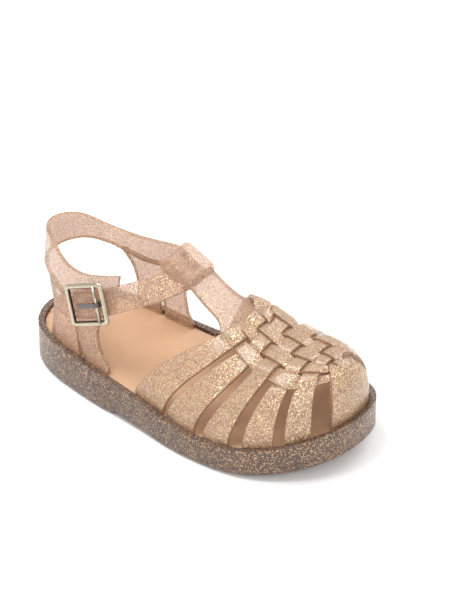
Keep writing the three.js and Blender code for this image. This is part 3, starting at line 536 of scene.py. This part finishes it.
def glitter_plastic(name, light, dark, flake, share, clear, glow, flake_size, coat=0.6):
    """Moulded plastic crowded with flakes: a cloudy body, tilted bright flakes and a clear gloss.

    clear is how much is seen straight through it and glow how much light it lets soak through.
    """
    recipe = Recipe(name)
    cloud = recipe.ramp(recipe.noise(120, 3), [(0.32, dark), (0.66, light)])
    cells = recipe.cells(flake_size * MM)
    pick = recipe.add("ShaderNodeSeparateColor")
    recipe.link(cells.outputs["Color"], pick.inputs[0])
    chosen = recipe.add("ShaderNodeMath", operation="LESS_THAN")
    recipe.link(pick.outputs[0], chosen.inputs[0])
    chosen.inputs[1].default_value = share
    flecked = recipe.mix(chosen.outputs[0], cloud, flake)
    hues = [(0.0, (0.5, 0.45, 0.45)), (0.3, (0.92, 0.92, 0.98)), (0.7, (1.05, 1.0, 0.92)),
            (1.0, (1.35, 1.2, 0.95))]
    bright = recipe.ramp(pick.outputs[1], hues)
    toned = recipe.add("ShaderNodeMix", data_type="RGBA", blend_type="MULTIPLY")
    toned.inputs["Factor"].default_value = 1.0
    recipe.link(flecked, toned.inputs[6])
    recipe.link(bright, toned.inputs[7])
    body = recipe.add("ShaderNodeBsdfPrincipled")
    recipe.link(toned.outputs[2], body.inputs["Base Color"])
    shine = recipe.add("ShaderNodeMath", operation="MULTIPLY")
    recipe.link(chosen.outputs[0], shine.inputs[0])
    shine.inputs[1].default_value = 0.7
    recipe.link(shine.outputs[0], body.inputs["Metallic"])
    recipe.link(flake_normals(recipe, cells, 0.8), body.inputs["Normal"])
    body.inputs["Roughness"].default_value = 0.36
    body.inputs["Coat Weight"].default_value = coat
    body.inputs["Coat Roughness"].default_value = 0.16
    if glow == 0:
        return recipe.surface(body.outputs[0])
    soaked = recipe.add("ShaderNodeBsdfTranslucent")
    recipe.link(toned.outputs[2], soaked.inputs["Color"])
    lit = recipe.add("ShaderNodeMixShader")
    lit.inputs["Fac"].default_value = glow
    recipe.link(body.outputs[0], lit.inputs[1])
    recipe.link(soaked.outputs[0], lit.inputs[2])
    through = recipe.add("ShaderNodeBsdfTransparent")
    through.inputs["Color"].default_value = (1, 0.94, 0.91, 1)
    blend = recipe.add("ShaderNodeMixShader")
    blend.inputs["Fac"].default_value = clear
    recipe.link(lit.outputs[0], blend.inputs[1])
    recipe.link(through.outputs[0], blend.inputs[2])
    return recipe.surface(blend.outputs[0])


def tan_insole():
    """Smooth tan sheet, a little mottled, with a faint fine tooth."""
    recipe = Recipe("tan_insole")
    tan = colours().insole
    worn = recipe.ramp(recipe.noise(35, 2), [(0.3, tuple(c * 0.93 for c in tan)), (0.7, tuple(tan))])
    body = recipe.add("ShaderNodeBsdfPrincipled")
    recipe.link(worn, body.inputs["Base Color"])
    bump = recipe.add("ShaderNodeBump")
    bump.inputs["Strength"].default_value = 0.08
    bump.inputs["Distance"].default_value = 0.0002
    recipe.link(recipe.noise(2500, 2), bump.inputs["Height"])
    recipe.link(bump.outputs[0], body.inputs["Normal"])
    body.inputs["Roughness"].default_value = 0.5
    return recipe.surface(body.outputs[0])


def cast_metal(name, metal, shaded=False):
    """Satin cast metal with small tone changes; shaded lets an attribute paint shade onto its inner edges.
    """
    recipe = Recipe(name)
    tone = recipe.ramp(recipe.noise(400, 3), [(0.3, tuple(c * 0.85 for c in metal)), (0.7, tuple(metal))])
    body = recipe.add("ShaderNodeBsdfPrincipled")
    if shaded:
        painted_shade = recipe.add("ShaderNodeAttribute", attribute_name=PAINTED_SHADE)
        # Near-black tone that the painted shade on the inner edges fades to
        old = recipe.mix(painted_shade.outputs["Fac"], (0, 0, 0), (0.05, 0.035, 0.025))
        tone = recipe.mix(painted_shade.outputs["Fac"], tone, old)
    recipe.link(tone, body.inputs["Base Color"])
    rough = recipe.add("ShaderNodeMapRange")
    recipe.link(recipe.noise(900, 2), rough.inputs["Value"])
    rough.inputs["To Min"].default_value = 0.15
    rough.inputs["To Max"].default_value = 0.3
    recipe.link(rough.outputs[0], body.inputs["Roughness"])
    body.inputs["Metallic"].default_value = 1.0
    return recipe.surface(body.outputs[0])


def jelly_plastic():
    tint = colours().jelly
    return glitter_plastic("glitter_jelly", tuple(tint), tuple(c * 0.82 for c in tint),
                           tuple(colours().glitter), 0.26, 0.42, 0.3, 0.34)


def vamp_plastic():
    tint = colours().vamp
    return glitter_plastic("glitter_vamp", tuple(tint), tuple(c * 0.82 for c in tint),
                           tuple(colours().glitter), 0.32, 0.2, 0.12, 0.34, coat=0.8)


def jelly_edge():
    """The same plastic seen along its wall at a cut edge, deeper and more golden."""
    red, green, blue = colours().jelly
    deep = (red * 0.78, green * 0.68, blue * 0.56)
    return glitter_plastic("jelly_edge", deep, tuple(c * 0.75 for c in deep),
                           tuple(c * 0.8 for c in colours().glitter), 0.3, 0.05, 0.2, 0.3)


def sole_plastic():
    tint = colours().sole
    return glitter_plastic("glitter_sole", tuple(c * 1.05 for c in tint), tuple(c * 0.7 for c in tint),
                           tuple(colours().sole_glitter), 0.19, 0, 0, 0.4, coat=0.2)


def made_once(build):
    """The material of that builder, built the first time it is asked for."""
    known = bpy.data.materials.get(MATERIALS[build])
    return known or build()


MATERIALS = {jelly_plastic: "glitter_jelly", vamp_plastic: "glitter_vamp", jelly_edge: "jelly_edge",
             sole_plastic: "glitter_sole"}


# Mesh helpers

SLICE = 4


def finished(bm, name, material, slot, replaced=()):
    """Turns the bmesh into an object in the row frame that rides with the shoe."""
    bmesh.ops.translate(bm, verts=bm.verts, vec=(-HEEL_CENTRE, 0, 0))
    bmesh.ops.scale(bm, verts=bm.verts, vec=(MM, MM, MM))
    for face in bm.faces:
        face.smooth = True
    mesh = bpy.data.meshes.new(name)
    bm.to_mesh(mesh)
    bm.free()
    piece = bpy.data.objects.new(name, mesh)
    bpy.context.scene.collection.objects.link(piece)
    mesh.materials.append(material)
    if slot == "upper_jelly":
        mesh.materials.append(made_once(jelly_edge))
    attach(piece, BODY)
    if replaced:
        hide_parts(*replaced)
    return piece


def placed_grid(rows, columns, place):
    """A grid whose vertices are moved to place(row share, column share)."""
    bm = bmesh.new()
    bmesh.ops.create_grid(bm, x_segments=rows, y_segments=columns, size=0.5)
    for vert in bm.verts:
        vert.co = place(vert.co.x + 0.5, vert.co.y + 0.5)
    return bm


def sliced(bm, faces, axis, places):
    """Cuts flat faces across the axis at each place, so that they can bend; gives the slices."""
    for at in places:
        origin, normal = Vector((0, 0, 0)), Vector((0, 0, 0))
        origin[axis], normal[axis] = at, 1
        geom = {g for f in faces for g in (f, *f.edges, *f.verts)}
        cut = bmesh.ops.bisect_plane(bm, geom=list(geom), plane_co=origin, plane_no=normal)
        faces = [g for g in cut["geom"] if isinstance(g, bmesh.types.BMFace)]
    return faces


def walled(piece, thickness, rounding, offset=0.0, subdivide=1):
    """Gives a one-sided sheet its wall, rounded edges and a smooth surface."""
    wall = piece.modifiers.new("wall", "SOLIDIFY")
    wall.thickness = thickness
    wall.offset = offset
    wall.use_even_offset = False
    wall.material_offset_rim = len(piece.data.materials) - 1
    edge = piece.modifiers.new("edge", "BEVEL")
    edge.width = rounding
    edge.segments = 2
    edge.limit_method = "ANGLE"
    edge.angle_limit = math.radians(55)
    edge.harden_normals = False
    if subdivide:
        fine = piece.modifiers.new("fine", "SUBSURF")
        fine.levels = subdivide
        fine.render_levels = subdivide
    return piece


def moulded(bm, name, plastic, wall, replaced=()):
    """A sheet of the upper, given its wall and rounded edges."""
    bmesh.ops.recalc_face_normals(bm, faces=bm.faces)
    piece = finished(bm, name, made_once(plastic), "upper_jelly", replaced)
    return walled(piece, wall, sizes().edge_round)


def lifted(place, u, v, lift, step=0.01):
    """A point of a surface, raised along the normal that its neighbours a step away give."""
    if lift == 0:
        return place(u, v)
    along = place(u + step, v) - place(u - step, v)
    across = place(u, v + step) - place(u, v - step)
    facing = along.cross(across).normalized()
    if facing.z < 0:
        facing.negate()
    return place(u, v) + facing * lift


# Pieces

def build_sole():
    """Tray with a rounded rim, a recess for the insole and the step in front of the heel."""
    levels = [
        (SOLE_EDGE, underside_at),
        (0, lambda x: underside_at(x) + SOLE_EDGE),
        (0, rim_at),
        (RIM_WIDTH, rim_at),
        (RIM_WIDTH, lambda x: rim_at(x) - RECESS_DEPTH),
    ]
    bm = bmesh.new()
    bmesh.ops.create_circle(bm, cap_ends=False, segments=2 * SOLE_STATIONS, radius=1)
    bm.verts.ensure_lookup_table()
    ring = list(bm.verts)
    edges = list(bm.edges)
    for number, (inset, height) in enumerate(levels):
        if number:
            made = bmesh.ops.extrude_edge_only(bm, edges=edges)["geom"]
            edges = [e for e in made if isinstance(e, bmesh.types.BMEdge)
                     and all(v in made for v in e.verts) and len(e.link_faces) == 1]
            fresh = {}
            for old in ring:
                for e in old.link_edges:
                    other = e.other_vert(old)
                    if other in made:
                        fresh[old] = other
            ring = [fresh[old] for old in ring]
        for vert, point in zip(ring, outline_ring(inset, SOLE_STATIONS)):
            vert.co = (point.x, point.y, height(point.x))
        if number == 0:
            bottom = list(edges)
    bmesh.ops.contextual_create(bm, geom=edges)
    bmesh.ops.contextual_create(bm, geom=bottom)
    sliced(bm, [f for f in bm.faces if len(f.verts) > 4], 0, range(SLICE, int(SOLE_LENGTH), SLICE))
    step_back, step_front = (UNDERSIDE_SHARES[end] * SOLE_LENGTH for end in ("breast", "ball"))
    underside_top, past_step = 4, step_back + 0.2
    for vert in bm.verts:
        x = vert.co.x
        if vert.co.z < underside_top and past_step < x < step_front:
            vert.co.z += BREAST_STEP * (step_front - x) / (step_front - step_back)
    bmesh.ops.recalc_face_normals(bm, faces=bm.faces)
    piece = finished(bm, "sole", made_once(sole_plastic), "sole_jelly", ("outsole",))
    edge = piece.modifiers.new("edge", "BEVEL")
    edge.width = sizes().sole_round
    edge.segments = 3
    edge.limit_method = "ANGLE"
    edge.angle_limit = math.radians(50)
    return piece


def build_insole():
    """Tan plate with a soft lip along its edge, dished for the foot."""
    bm = bmesh.new()
    bmesh.ops.create_circle(bm, cap_ends=True, segments=2 * SOLE_STATIONS, radius=1)
    bm.verts.ensure_lookup_table()
    for vert, point in zip(bm.verts, outline_ring(RIM_WIDTH + CLEARANCE, SOLE_STATIONS)):
        vert.co = point
    for width in INSOLE_LIP:
        top = max(bm.faces, key=lambda f: f.calc_area())
        bmesh.ops.inset_region(bm, faces=[top], thickness=width)
    top = max(bm.faces, key=lambda f: f.calc_area())
    dished = set(top.verts)
    caps = sliced(bm, [top], 0, range(SLICE, int(SOLE_LENGTH), SLICE))
    caps = sliced(bm, caps, 1, range(-9 * SLICE, 10 * SLICE, SLICE))
    inside = {v for f in caps for v in f.verts} | {v for v in dished if v.is_valid}
    boundary = {v for v in bm.verts if v.is_boundary}
    for vert in bm.verts:
        drop = INSOLE_DROP
        if vert in inside:
            drop += INSOLE_DISH
        if vert in boundary:
            drop += INSOLE_DROP
        vert.co.z = rim_at(vert.co.x) - drop
    if sum(f.normal.z for f in bm.faces) < 0:
        bmesh.ops.reverse_faces(bm, faces=bm.faces)
    bm.normal_update()
    piece = finished(bm, "insole_sheet", tan_insole(), "insole_plastic", ("insole",))
    return walled(piece, INSOLE_WALL * MM, INSOLE_EDGE * MM, offset=-1, subdivide=0)


def build_vamp_strap(index, replaced=()):
    """One strap across the vamp, over and under the lengthwise strips."""
    edge = VAMP_STRAPS[index]
    middle = edge + 0.5
    step = {-1: across_step(middle, -1), 1: across_step(middle, 1)}
    lift_size = sizes().weave_lift / MM
    sunk_share, evenness, steepness = 0.03, 0.35, 1.35

    def across_of(u):
        side = -1 if u < 0.5 else 1
        turn = abs(u - 0.5) * 2
        if turn > 1 - sunk_share:
            return side * lerp(1, SIDE_END, (turn - 1 + sunk_share) / sunk_share)
        turn /= 1 - sunk_share
        return side * lerp(math.sin(turn * math.pi / 2), turn, evenness)

    def place(u, v):
        return vamp_point(edge + v, across_of(u))

    def woven(u, v):
        across = across_of(u)
        strips = across / step[-1 if across < 0 else 1]
        if abs(strips) >= WEAVE_END_COUNT:
            return place(u, v)
        wave = clamp(steepness * math.cos(math.pi * (strips + index)), -1, 1)
        fade = smooth((WEAVE_END_COUNT - abs(strips)) / (WEAVE_END_COUNT - LAST_FLAT_COUNT))
        return lifted(place, u, v, wave * fade * lift_size)

    bm = placed_grid(96, 4, woven)
    return moulded(bm, f"vamp_strap_{index + 1}", vamp_plastic, sizes().wall, replaced)


def build_weave_strip(strip):
    """One lengthwise strip, from the T-strap's throat to the toe cap."""
    first, last = 0.35, CAP_ROW + 0.2
    first_lift, last_lift, flat_from = -0.4, -0.5, 0.22
    knots = [(first, first_lift)]
    for index, edge in enumerate(VAMP_STRAPS):
        lift = sizes().weave_lift / MM * (-1 if (strip + index) % 2 == 0 else 1)
        if index:
            knots.append((edge + flat_from, lift))
        knots.append((edge + 1 - flat_from, lift))
    knots.append((last, last_lift))

    def lift_at(edge):
        for (a, low), (b, high) in zip(knots, knots[1:]):
            if edge <= b:
                return lerp(low, high, smooth((edge - a) / (b - a)))
        return knots[-1][1]

    def place(u, v):
        edge = lerp(first, last, u)
        strips = strip + (v - 0.5) * STRIP_WIDTH / STRIP_PITCH
        return vamp_point(edge, strips * across_step(edge, -1 if strips < 0 else 1))

    bm = placed_grid(72, 4, lambda u, v: lifted(place, u, v, lift_at(lerp(first, last, u))))
    number = strip - LENGTHWISE_STRIPS[0] + 1
    return moulded(bm, f"weave_strip_{number}", vamp_plastic, sizes().wall)


def build_toe_cap():
    """Rounded cap over the toes, from the end of the weave down to the rim."""
    top_share, sunk_share, step = 0.06, 0.06, 0.002
    start = math.asin(top_share)

    def place(u, v):
        across = clamp(v, 0, 1) * 2 - 1
        if u > 1 - sunk_share:
            share = lerp(1, SIDE_END, (u - 1 + sunk_share) / sunk_share)
        else:
            share = math.sin(lerp(start, math.pi / 2, u / (1 - sunk_share)))
        edge = TIP_ROW - abs(across) * (TIP_ROW - CAP_ROW)
        return vamp_point(edge, (-1 if across < 0 else 1) * share)

    bm = placed_grid(28, 40, lambda u, v: lifted(place, u, v, CAP_LIFT * max(0, 1 - u ** 4), step))
    return moulded(bm, "toe_cap", vamp_plastic, sizes().wall)


def build_t_strap():
    """Strap from the weave up to the loop, widening into rounded corners at the throat."""
    throat = sample(RIDGE, "z", T_STRAP["along"][0]) * VAMP_HEIGHT - THROAT_DROP

    def place(u, v):
        at = u * T_STRAP["x"][-1]
        along = sample(T_STRAP, "along", at)
        sideways = (v * 2 - 1) * sample(T_STRAP, "half", at) * T_STRAP_WIDTH
        power = sample(RIDGE, "outer" if sideways < 0 else "inner", along)
        share = abs(sideways) / reach_at(0, -1 if sideways < 0 else 1)
        fall = (1 - (1 - share ** power) ** (1 / power)) * (VAMP_HEIGHT - HEEL_HEIGHT)
        top = lerp(throat, LOOP["z_share"] * COLLAR_HEIGHT, sample(T_STRAP, "rise", at))
        height = top - T_STRAP_WALL / 2 - sample(T_STRAP, "fall", at) * fall
        return Vector((along * SOLE_LENGTH, ridge_y(along) + sideways, height))

    bm = placed_grid(36, 10, place)
    return moulded(bm, "t_strap", jelly_plastic, T_STRAP_WALL * MM)


def build_loop():
    """Puffy loop round the ankle strap, with a long groove moulded into its top."""
    length, thickness = sizes().loop_length / MM, sizes().loop_thickness / MM
    bm = bmesh.new()
    bmesh.ops.create_cube(bm, size=1)
    bmesh.ops.scale(bm, verts=bm.verts, vec=(length, T_STRAP_WIDTH, thickness))
    crosswise = [e for e in bm.edges if abs(e.verts[0].co.y - e.verts[1].co.y) > 1]
    bmesh.ops.bevel(bm, geom=crosswise, offset=thickness * 0.47, segments=8, profile=0.5,
                    affect="EDGES", material=-1)
    sides = [f for f in bm.faces if abs(f.normal.y) > 0.9]
    rim = list({e for f in sides for e in f.edges})
    bmesh.ops.bevel(bm, geom=rim, offset=0.9, segments=3, profile=0.5, affect="EDGES", material=-1)
    top = max(bm.faces, key=lambda f: f.calc_center_median().z + f.calc_area() * 0.001)
    bmesh.ops.inset_region(bm, faces=[top], thickness=LOOP_GROOVE["lip"])
    groove = max((f for f in bm.faces if f.normal.z > 0.99), key=lambda f: f.calc_area())
    middle = groove.calc_center_median()
    for vert in groove.verts:
        vert.co.x = middle.x + math.copysign(LOOP_GROOVE["length"] / 2, vert.co.x - middle.x)
        vert.co.y = middle.y + math.copysign(LOOP_GROOVE["width"] / 2, vert.co.y - middle.y)
    cut = bmesh.ops.extrude_face_region(bm, geom=[groove])
    floor = [v for v in cut["geom"] if isinstance(v, bmesh.types.BMVert)]
    bmesh.ops.translate(bm, verts=floor, vec=(0, 0, -LOOP_GROOVE["depth"]))
    bmesh.ops.delete(bm, geom=[groove], context="FACES_ONLY")
    bmesh.ops.rotate(bm, verts=bm.verts, cent=(0, 0, 0),
                     matrix=Matrix.Rotation(math.radians(LOOP["fall_degrees"]), 3, "Y"))
    bmesh.ops.translate(bm, verts=bm.verts, vec=(
        LOOP["x_share"] * SOLE_LENGTH, ridge_y(LOOP["x_share"]), LOOP["z_share"] * COLLAR_HEIGHT))
    bmesh.ops.recalc_face_normals(bm, faces=bm.faces)
    return finished(bm, "instep_loop", made_once(jelly_plastic), "upper_jelly")


def build_band():
    """Heel band and ankle strap in one run, down to the tail behind the buckle."""
    tail_start, tail_rounding = 1 - 1 / BAND_ROWS, 0.35

    def place(u, v):
        tail = max(0, (u - tail_start) / (1 - tail_start))
        return band_point(u, lerp(v, 0.5, tail_rounding * tail * tail))

    bm = placed_grid(200, 4, place)
    return moulded(bm, "ankle_band", jelly_plastic, sizes().wall)


def build_quarter(side, table, slot, name):
    """Wall from the sole up into the band, with its narrow slot."""
    foot, tip, top = slot
    slot_top = top * COLLAR_HEIGHT
    highest = table["x"][-1] * COLLAR_HEIGHT
    half = 5

    def height_of(u, x):
        start = rim_at(x) - RECESS_DEPTH + CLEARANCE
        behind_band = band_over(side, x)[0].z + QUARTER_LAP
        return lerp(start, min(highest, behind_band), u)

    def slot_at(z, base):
        """Middle and half width of the slot at that height."""
        rise = clamp((z - base) / (slot_top - base), 0, 1)
        return lerp(foot, tip, rise) * SOLE_LENGTH, SLOT_WIDTH / 2 * (1 - SLOT_TAPER * rise)

    def place(u, v):
        guess = lerp(table["rear"][0], table["front"][0], v) * SOLE_LENGTH
        z = height_of(u, guess)
        share = clamp(z / COLLAR_HEIGHT, table["x"][0], table["x"][-1])
        rear = sample(table, "rear", share) * SOLE_LENGTH
        front = sample(table, "front", share) * SOLE_LENGTH
        centre, open_half = slot_at(z, rim_at(guess))
        column = round(v * (2 * half + 1))
        if column <= half:
            x = lerp(rear, centre - open_half, column / half)
        else:
            x = lerp(centre + open_half, front, (column - half - 1) / half)
        return wall_point(side, x, height_of(u, x))

    bm = placed_grid(30, 2 * half + 1, place)
    gap = []
    for face in bm.faces:
        middle = face.calc_center_median()
        centre, open_half = slot_at(middle.z, rim_at(foot * SOLE_LENGTH))
        if middle.z < slot_top and abs(middle.x - centre) < open_half * 0.9:
            gap.append(face)
    bmesh.ops.delete(bm, geom=gap, context="FACES")
    bmesh.ops.recalc_face_normals(bm, faces=bm.faces)
    piece = finished(bm, name, made_once(jelly_plastic), "upper_jelly")
    return walled(piece, QUARTER_WALL * MM, QUARTER_EDGE * MM, subdivide=0)


def buckle_matrix():
    """Buckle's own flat frame: X towards the toe, Y up along the strap's width, Z outwards."""
    t, step = BUCKLE_ROW / BAND_ROWS, 0.5 / BAND_ROWS
    forward = (band_point(t - step, 0.5) - band_point(t + step, 0.5)).normalized()
    up = (band_point(t, 1) - band_point(t, 0)).normalized()
    outward = forward.cross(up).normalized()
    up = outward.cross(forward)
    place = band_point(t, 0.5) + outward * (UPPER_WALL + BUCKLE["depth"]) / 2 + up * BUCKLE["raise"]
    basis = Matrix((forward, up, outward)).transposed().to_4x4()
    return Matrix.Translation(place) @ basis @ Matrix.Rotation(math.radians(-BUCKLE["turn_degrees"]), 4, "Z")


def ring_point(length, height, corner, share):
    """Point and outward direction on a rounded rectangle, at a share of its way round."""
    x, y = length / 2 - corner, height / 2 - corner
    centres = [Vector((x, -y, 0)), Vector((x, y, 0)), Vector((-x, y, 0)), Vector((-x, -y, 0))]
    side, along = int(share * 4) % 4, share * 4 % 1
    corner_share = 0.4
    angle = math.radians(90 * (side + min(along / corner_share, 1)) - 90)
    out = Vector((math.cos(angle), math.sin(angle), 0))
    run = max(0, (along - corner_share) / (1 - corner_share))
    return centres[side].lerp(centres[(side + 1) % 4], run) + out * corner, out


def build_buckle_frame():
    """Rounded square ring with a bright face and painted shade on its inner edges, and its hinge bar."""
    bar, depth, boxiness = BUCKLE["bar"], BUCKLE["depth"], 2.6
    bm = placed_grid(96, 16, lambda u, v: Vector((u, v, 0)))
    painted_shade = bm.verts.layers.float.new(PAINTED_SHADE)
    for vert in bm.verts:
        u, v = vert.co.x, vert.co.y
        point, out = ring_point(BUCKLE["length"], BUCKLE["height"], BUCKLE["corner"], u)
        angle = v * 2 * math.pi
        sideways, raised = math.cos(angle), math.sin(angle)
        boxy = (abs(sideways) ** boxiness + abs(raised) ** boxiness) ** (1 / boxiness)
        vert.co = point + out * (sideways / boxy - 1) * bar / 2
        vert.co.z = raised / boxy * depth / 2
        # Painted shade: the bar's inward-facing side turns dark, while its top stays bright
        vert[painted_shade] = smooth((-sideways - 0.2) / 0.5) if raised < 0.75 else 0
    bmesh.ops.remove_doubles(bm, verts=bm.verts, dist=0.001)
    eye = BUCKLE["hinge_bar"] / 2 + CLEARANCE + BUCKLE["prong_wall"]
    hinge = Matrix.Translation((BUCKLE["length"] / 2 - bar - CLEARANCE - eye, 0, eye - depth / 2))
    bmesh.ops.create_cone(bm, cap_ends=True, segments=20, radius1=BUCKLE["hinge_bar"] / 2,
                          radius2=BUCKLE["hinge_bar"] / 2, depth=BUCKLE["height"] - bar,
                          matrix=hinge @ Matrix.Rotation(math.pi / 2, 4, "X"))
    bmesh.ops.recalc_face_normals(bm, faces=bm.faces)
    bmesh.ops.transform(bm, matrix=buckle_matrix(), verts=bm.verts)
    metal = cast_metal("champagne_metal", colours().metal, shaded=True)
    return finished(bm, "buckle_ring", metal, "buckle_metal", ("buckle_frame",))


# Operators

class SANDAL_OT_sole(bpy.types.Operator):
    """Build the platform sole and the insole"""

    bl_idname = "sandal.sole"
    bl_label = "Sole and insole"

    def execute(self, context):
        build_sole()
        build_insole()
        return {"FINISHED"}


class SANDAL_OT_vamp(bpy.types.Operator):
    """Build the straps, the strips woven through them and the toe cap"""

    bl_idname = "sandal.vamp"
    bl_label = "Woven vamp"

    def execute(self, context):
        for index in range(len(VAMP_STRAPS)):
            build_vamp_strap(index, ("upper",) if index == 0 else ())
        for strip in LENGTHWISE_STRIPS:
            build_weave_strip(strip)
        build_toe_cap()
        return {"FINISHED"}


class SANDAL_OT_t_strap(bpy.types.Operator):
    """Build the T-strap and its loop over the instep"""

    bl_idname = "sandal.t_strap"
    bl_label = "T-strap and loop"

    def execute(self, context):
        build_t_strap()
        build_loop()
        return {"FINISHED"}


class SANDAL_OT_collar(bpy.types.Operator):
    """Build the heel band, the ankle strap and both quarters"""

    bl_idname = "sandal.collar"
    bl_label = "Collar and quarters"

    def execute(self, context):
        build_band()
        build_quarter(-1, OUTER_QUARTER, OUTER_SLOT, "outer_quarter")
        build_quarter(1, INNER_QUARTER, INNER_SLOT, "inner_quarter")
        return {"FINISHED"}


class SANDAL_OT_buckle(bpy.types.Operator):
    """Finish the buckle's frame and prong"""

    bl_idname = "sandal.buckle"
    bl_label = "Buckle"

    def execute(self, context):
        build_buckle_frame()
        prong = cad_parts["buckle_prong"]
        prong.data.materials.clear()
        prong.data.materials.append(cast_metal("dark_metal", colours().prong))
        return {"FINISHED"}


class SANDAL_OT_stage(bpy.types.Operator):
    """Set up the floor, the light and the camera"""

    bl_idname = "sandal.stage"
    bl_label = "Stage"

    def execute(self, context):
        build_stage()
        return {"FINISHED"}


CAMERA_AIM = (0.05325, 0.0191, 0.0408)
CAMERA_AZIMUTH = 37.02
CAMERA_ELEVATION = 34.83
CAMERA_DISTANCE = 1.12066
CAMERA_TARGET = (0.05197, 0.0, 0.02)
CAMERA_LENS = 156.0


def build_stage():
    """White floor and surroundings, three soft lights and the photo's viewpoint."""
    bm = bmesh.new()
    bmesh.ops.create_grid(bm, x_segments=1, y_segments=1, size=6)
    mesh = bpy.data.meshes.new("floor")
    bm.to_mesh(mesh)
    bm.free()
    floor = bpy.data.objects.new("floor", mesh)
    bpy.context.scene.collection.objects.link(floor)
    recipe = Recipe("studio_floor")
    body = recipe.add("ShaderNodeBsdfPrincipled")
    body.inputs["Base Color"].default_value = (*colours().floor, 1)
    body.inputs["Roughness"].default_value = 0.9
    mesh.materials.append(recipe.surface(body.outputs[0]))

    world = bpy.data.worlds.new("studio")
    bpy.context.scene.world = world
    world.use_nodes = True
    background = world.node_tree.nodes["Background"]
    background.inputs["Color"].default_value = (1, 1, 1, 1)
    background.inputs["Strength"].default_value = 0.85

    for name, place, size, power in (
        ("key", (-0.35, -0.25, 1.2), 0.65, 10.5),
        ("fill", (0.9, -0.8, 0.7), 0.9, 5),
        ("back", (0.2, 1.0, 0.9), 0.8, 6),
    ):
        data = bpy.data.lights.new(name, "AREA")
        data.size = size
        data.energy = power
        lamp = bpy.data.objects.new(name, data)
        bpy.context.scene.collection.objects.link(lamp)
        lamp.location = place
        lamp.rotation_euler = (Vector(CAMERA_TARGET) - Vector(place)).to_track_quat("-Z", "Y").to_euler()

    azimuth, elevation = math.radians(CAMERA_AZIMUTH), math.radians(CAMERA_ELEVATION)
    back = Vector((math.sin(azimuth) * math.cos(elevation),
                   -math.cos(azimuth) * math.cos(elevation), math.sin(elevation)))
    data = bpy.data.cameras.new("camera")
    data.lens = CAMERA_LENS
    data.sensor_width = 36
    data.clip_end = 50
    camera = bpy.data.objects.new("camera", data)
    bpy.context.scene.collection.objects.link(camera)
    camera.location = Vector(CAMERA_TARGET) + back * CAMERA_DISTANCE
    camera.rotation_euler = (Vector(CAMERA_AIM) - camera.location).to_track_quat("-Z", "Y").to_euler()
    bpy.context.scene.camera = camera
    bpy.context.scene.view_settings.view_transform = "Standard"


class SANDAL_PT_panel(bpy.types.Panel):
    """Sizes, colours and pieces of the sandal"""

    bl_idname = "SANDAL_PT_panel"
    bl_label = "Sandal"
    bl_space_type = "VIEW_3D"
    bl_region_type = "UI"
    bl_category = "Sandal"

    def draw(self, context):
        for group in (context.scene.sandal_sizes, context.scene.sandal_colours):
            for name in group.bl_rna.properties.keys():
                if name not in ("rna_type", "name"):
                    self.layout.prop(group, name)
        for operator in PIECES:
            self.layout.operator(operator.bl_idname)


PIECES = (
    SANDAL_OT_sole,
    SANDAL_OT_vamp,
    SANDAL_OT_t_strap,
    SANDAL_OT_collar,
    SANDAL_OT_buckle,
    SANDAL_OT_stage,
)
CLASSES = (SandalSizes, SandalColours, *PIECES, SANDAL_PT_panel)


def register():
    for cls in CLASSES:
        bpy.utils.register_class(cls)
    bpy.types.Scene.sandal_sizes = PointerProperty(type=SandalSizes)
    bpy.types.Scene.sandal_colours = PointerProperty(type=SandalColours)


def unregister():
    del bpy.types.Scene.sandal_colours
    del bpy.types.Scene.sandal_sizes
    for cls in reversed(CLASSES):
        bpy.utils.unregister_class(cls)


def main():
    register()
    bpy.ops.sandal.sole()
    bpy.ops.sandal.vamp()
    bpy.ops.sandal.t_strap()
    bpy.ops.sandal.collar()
    bpy.ops.sandal.buckle()
    bpy.ops.sandal.stage()


if __name__ == "__main__":
    main()
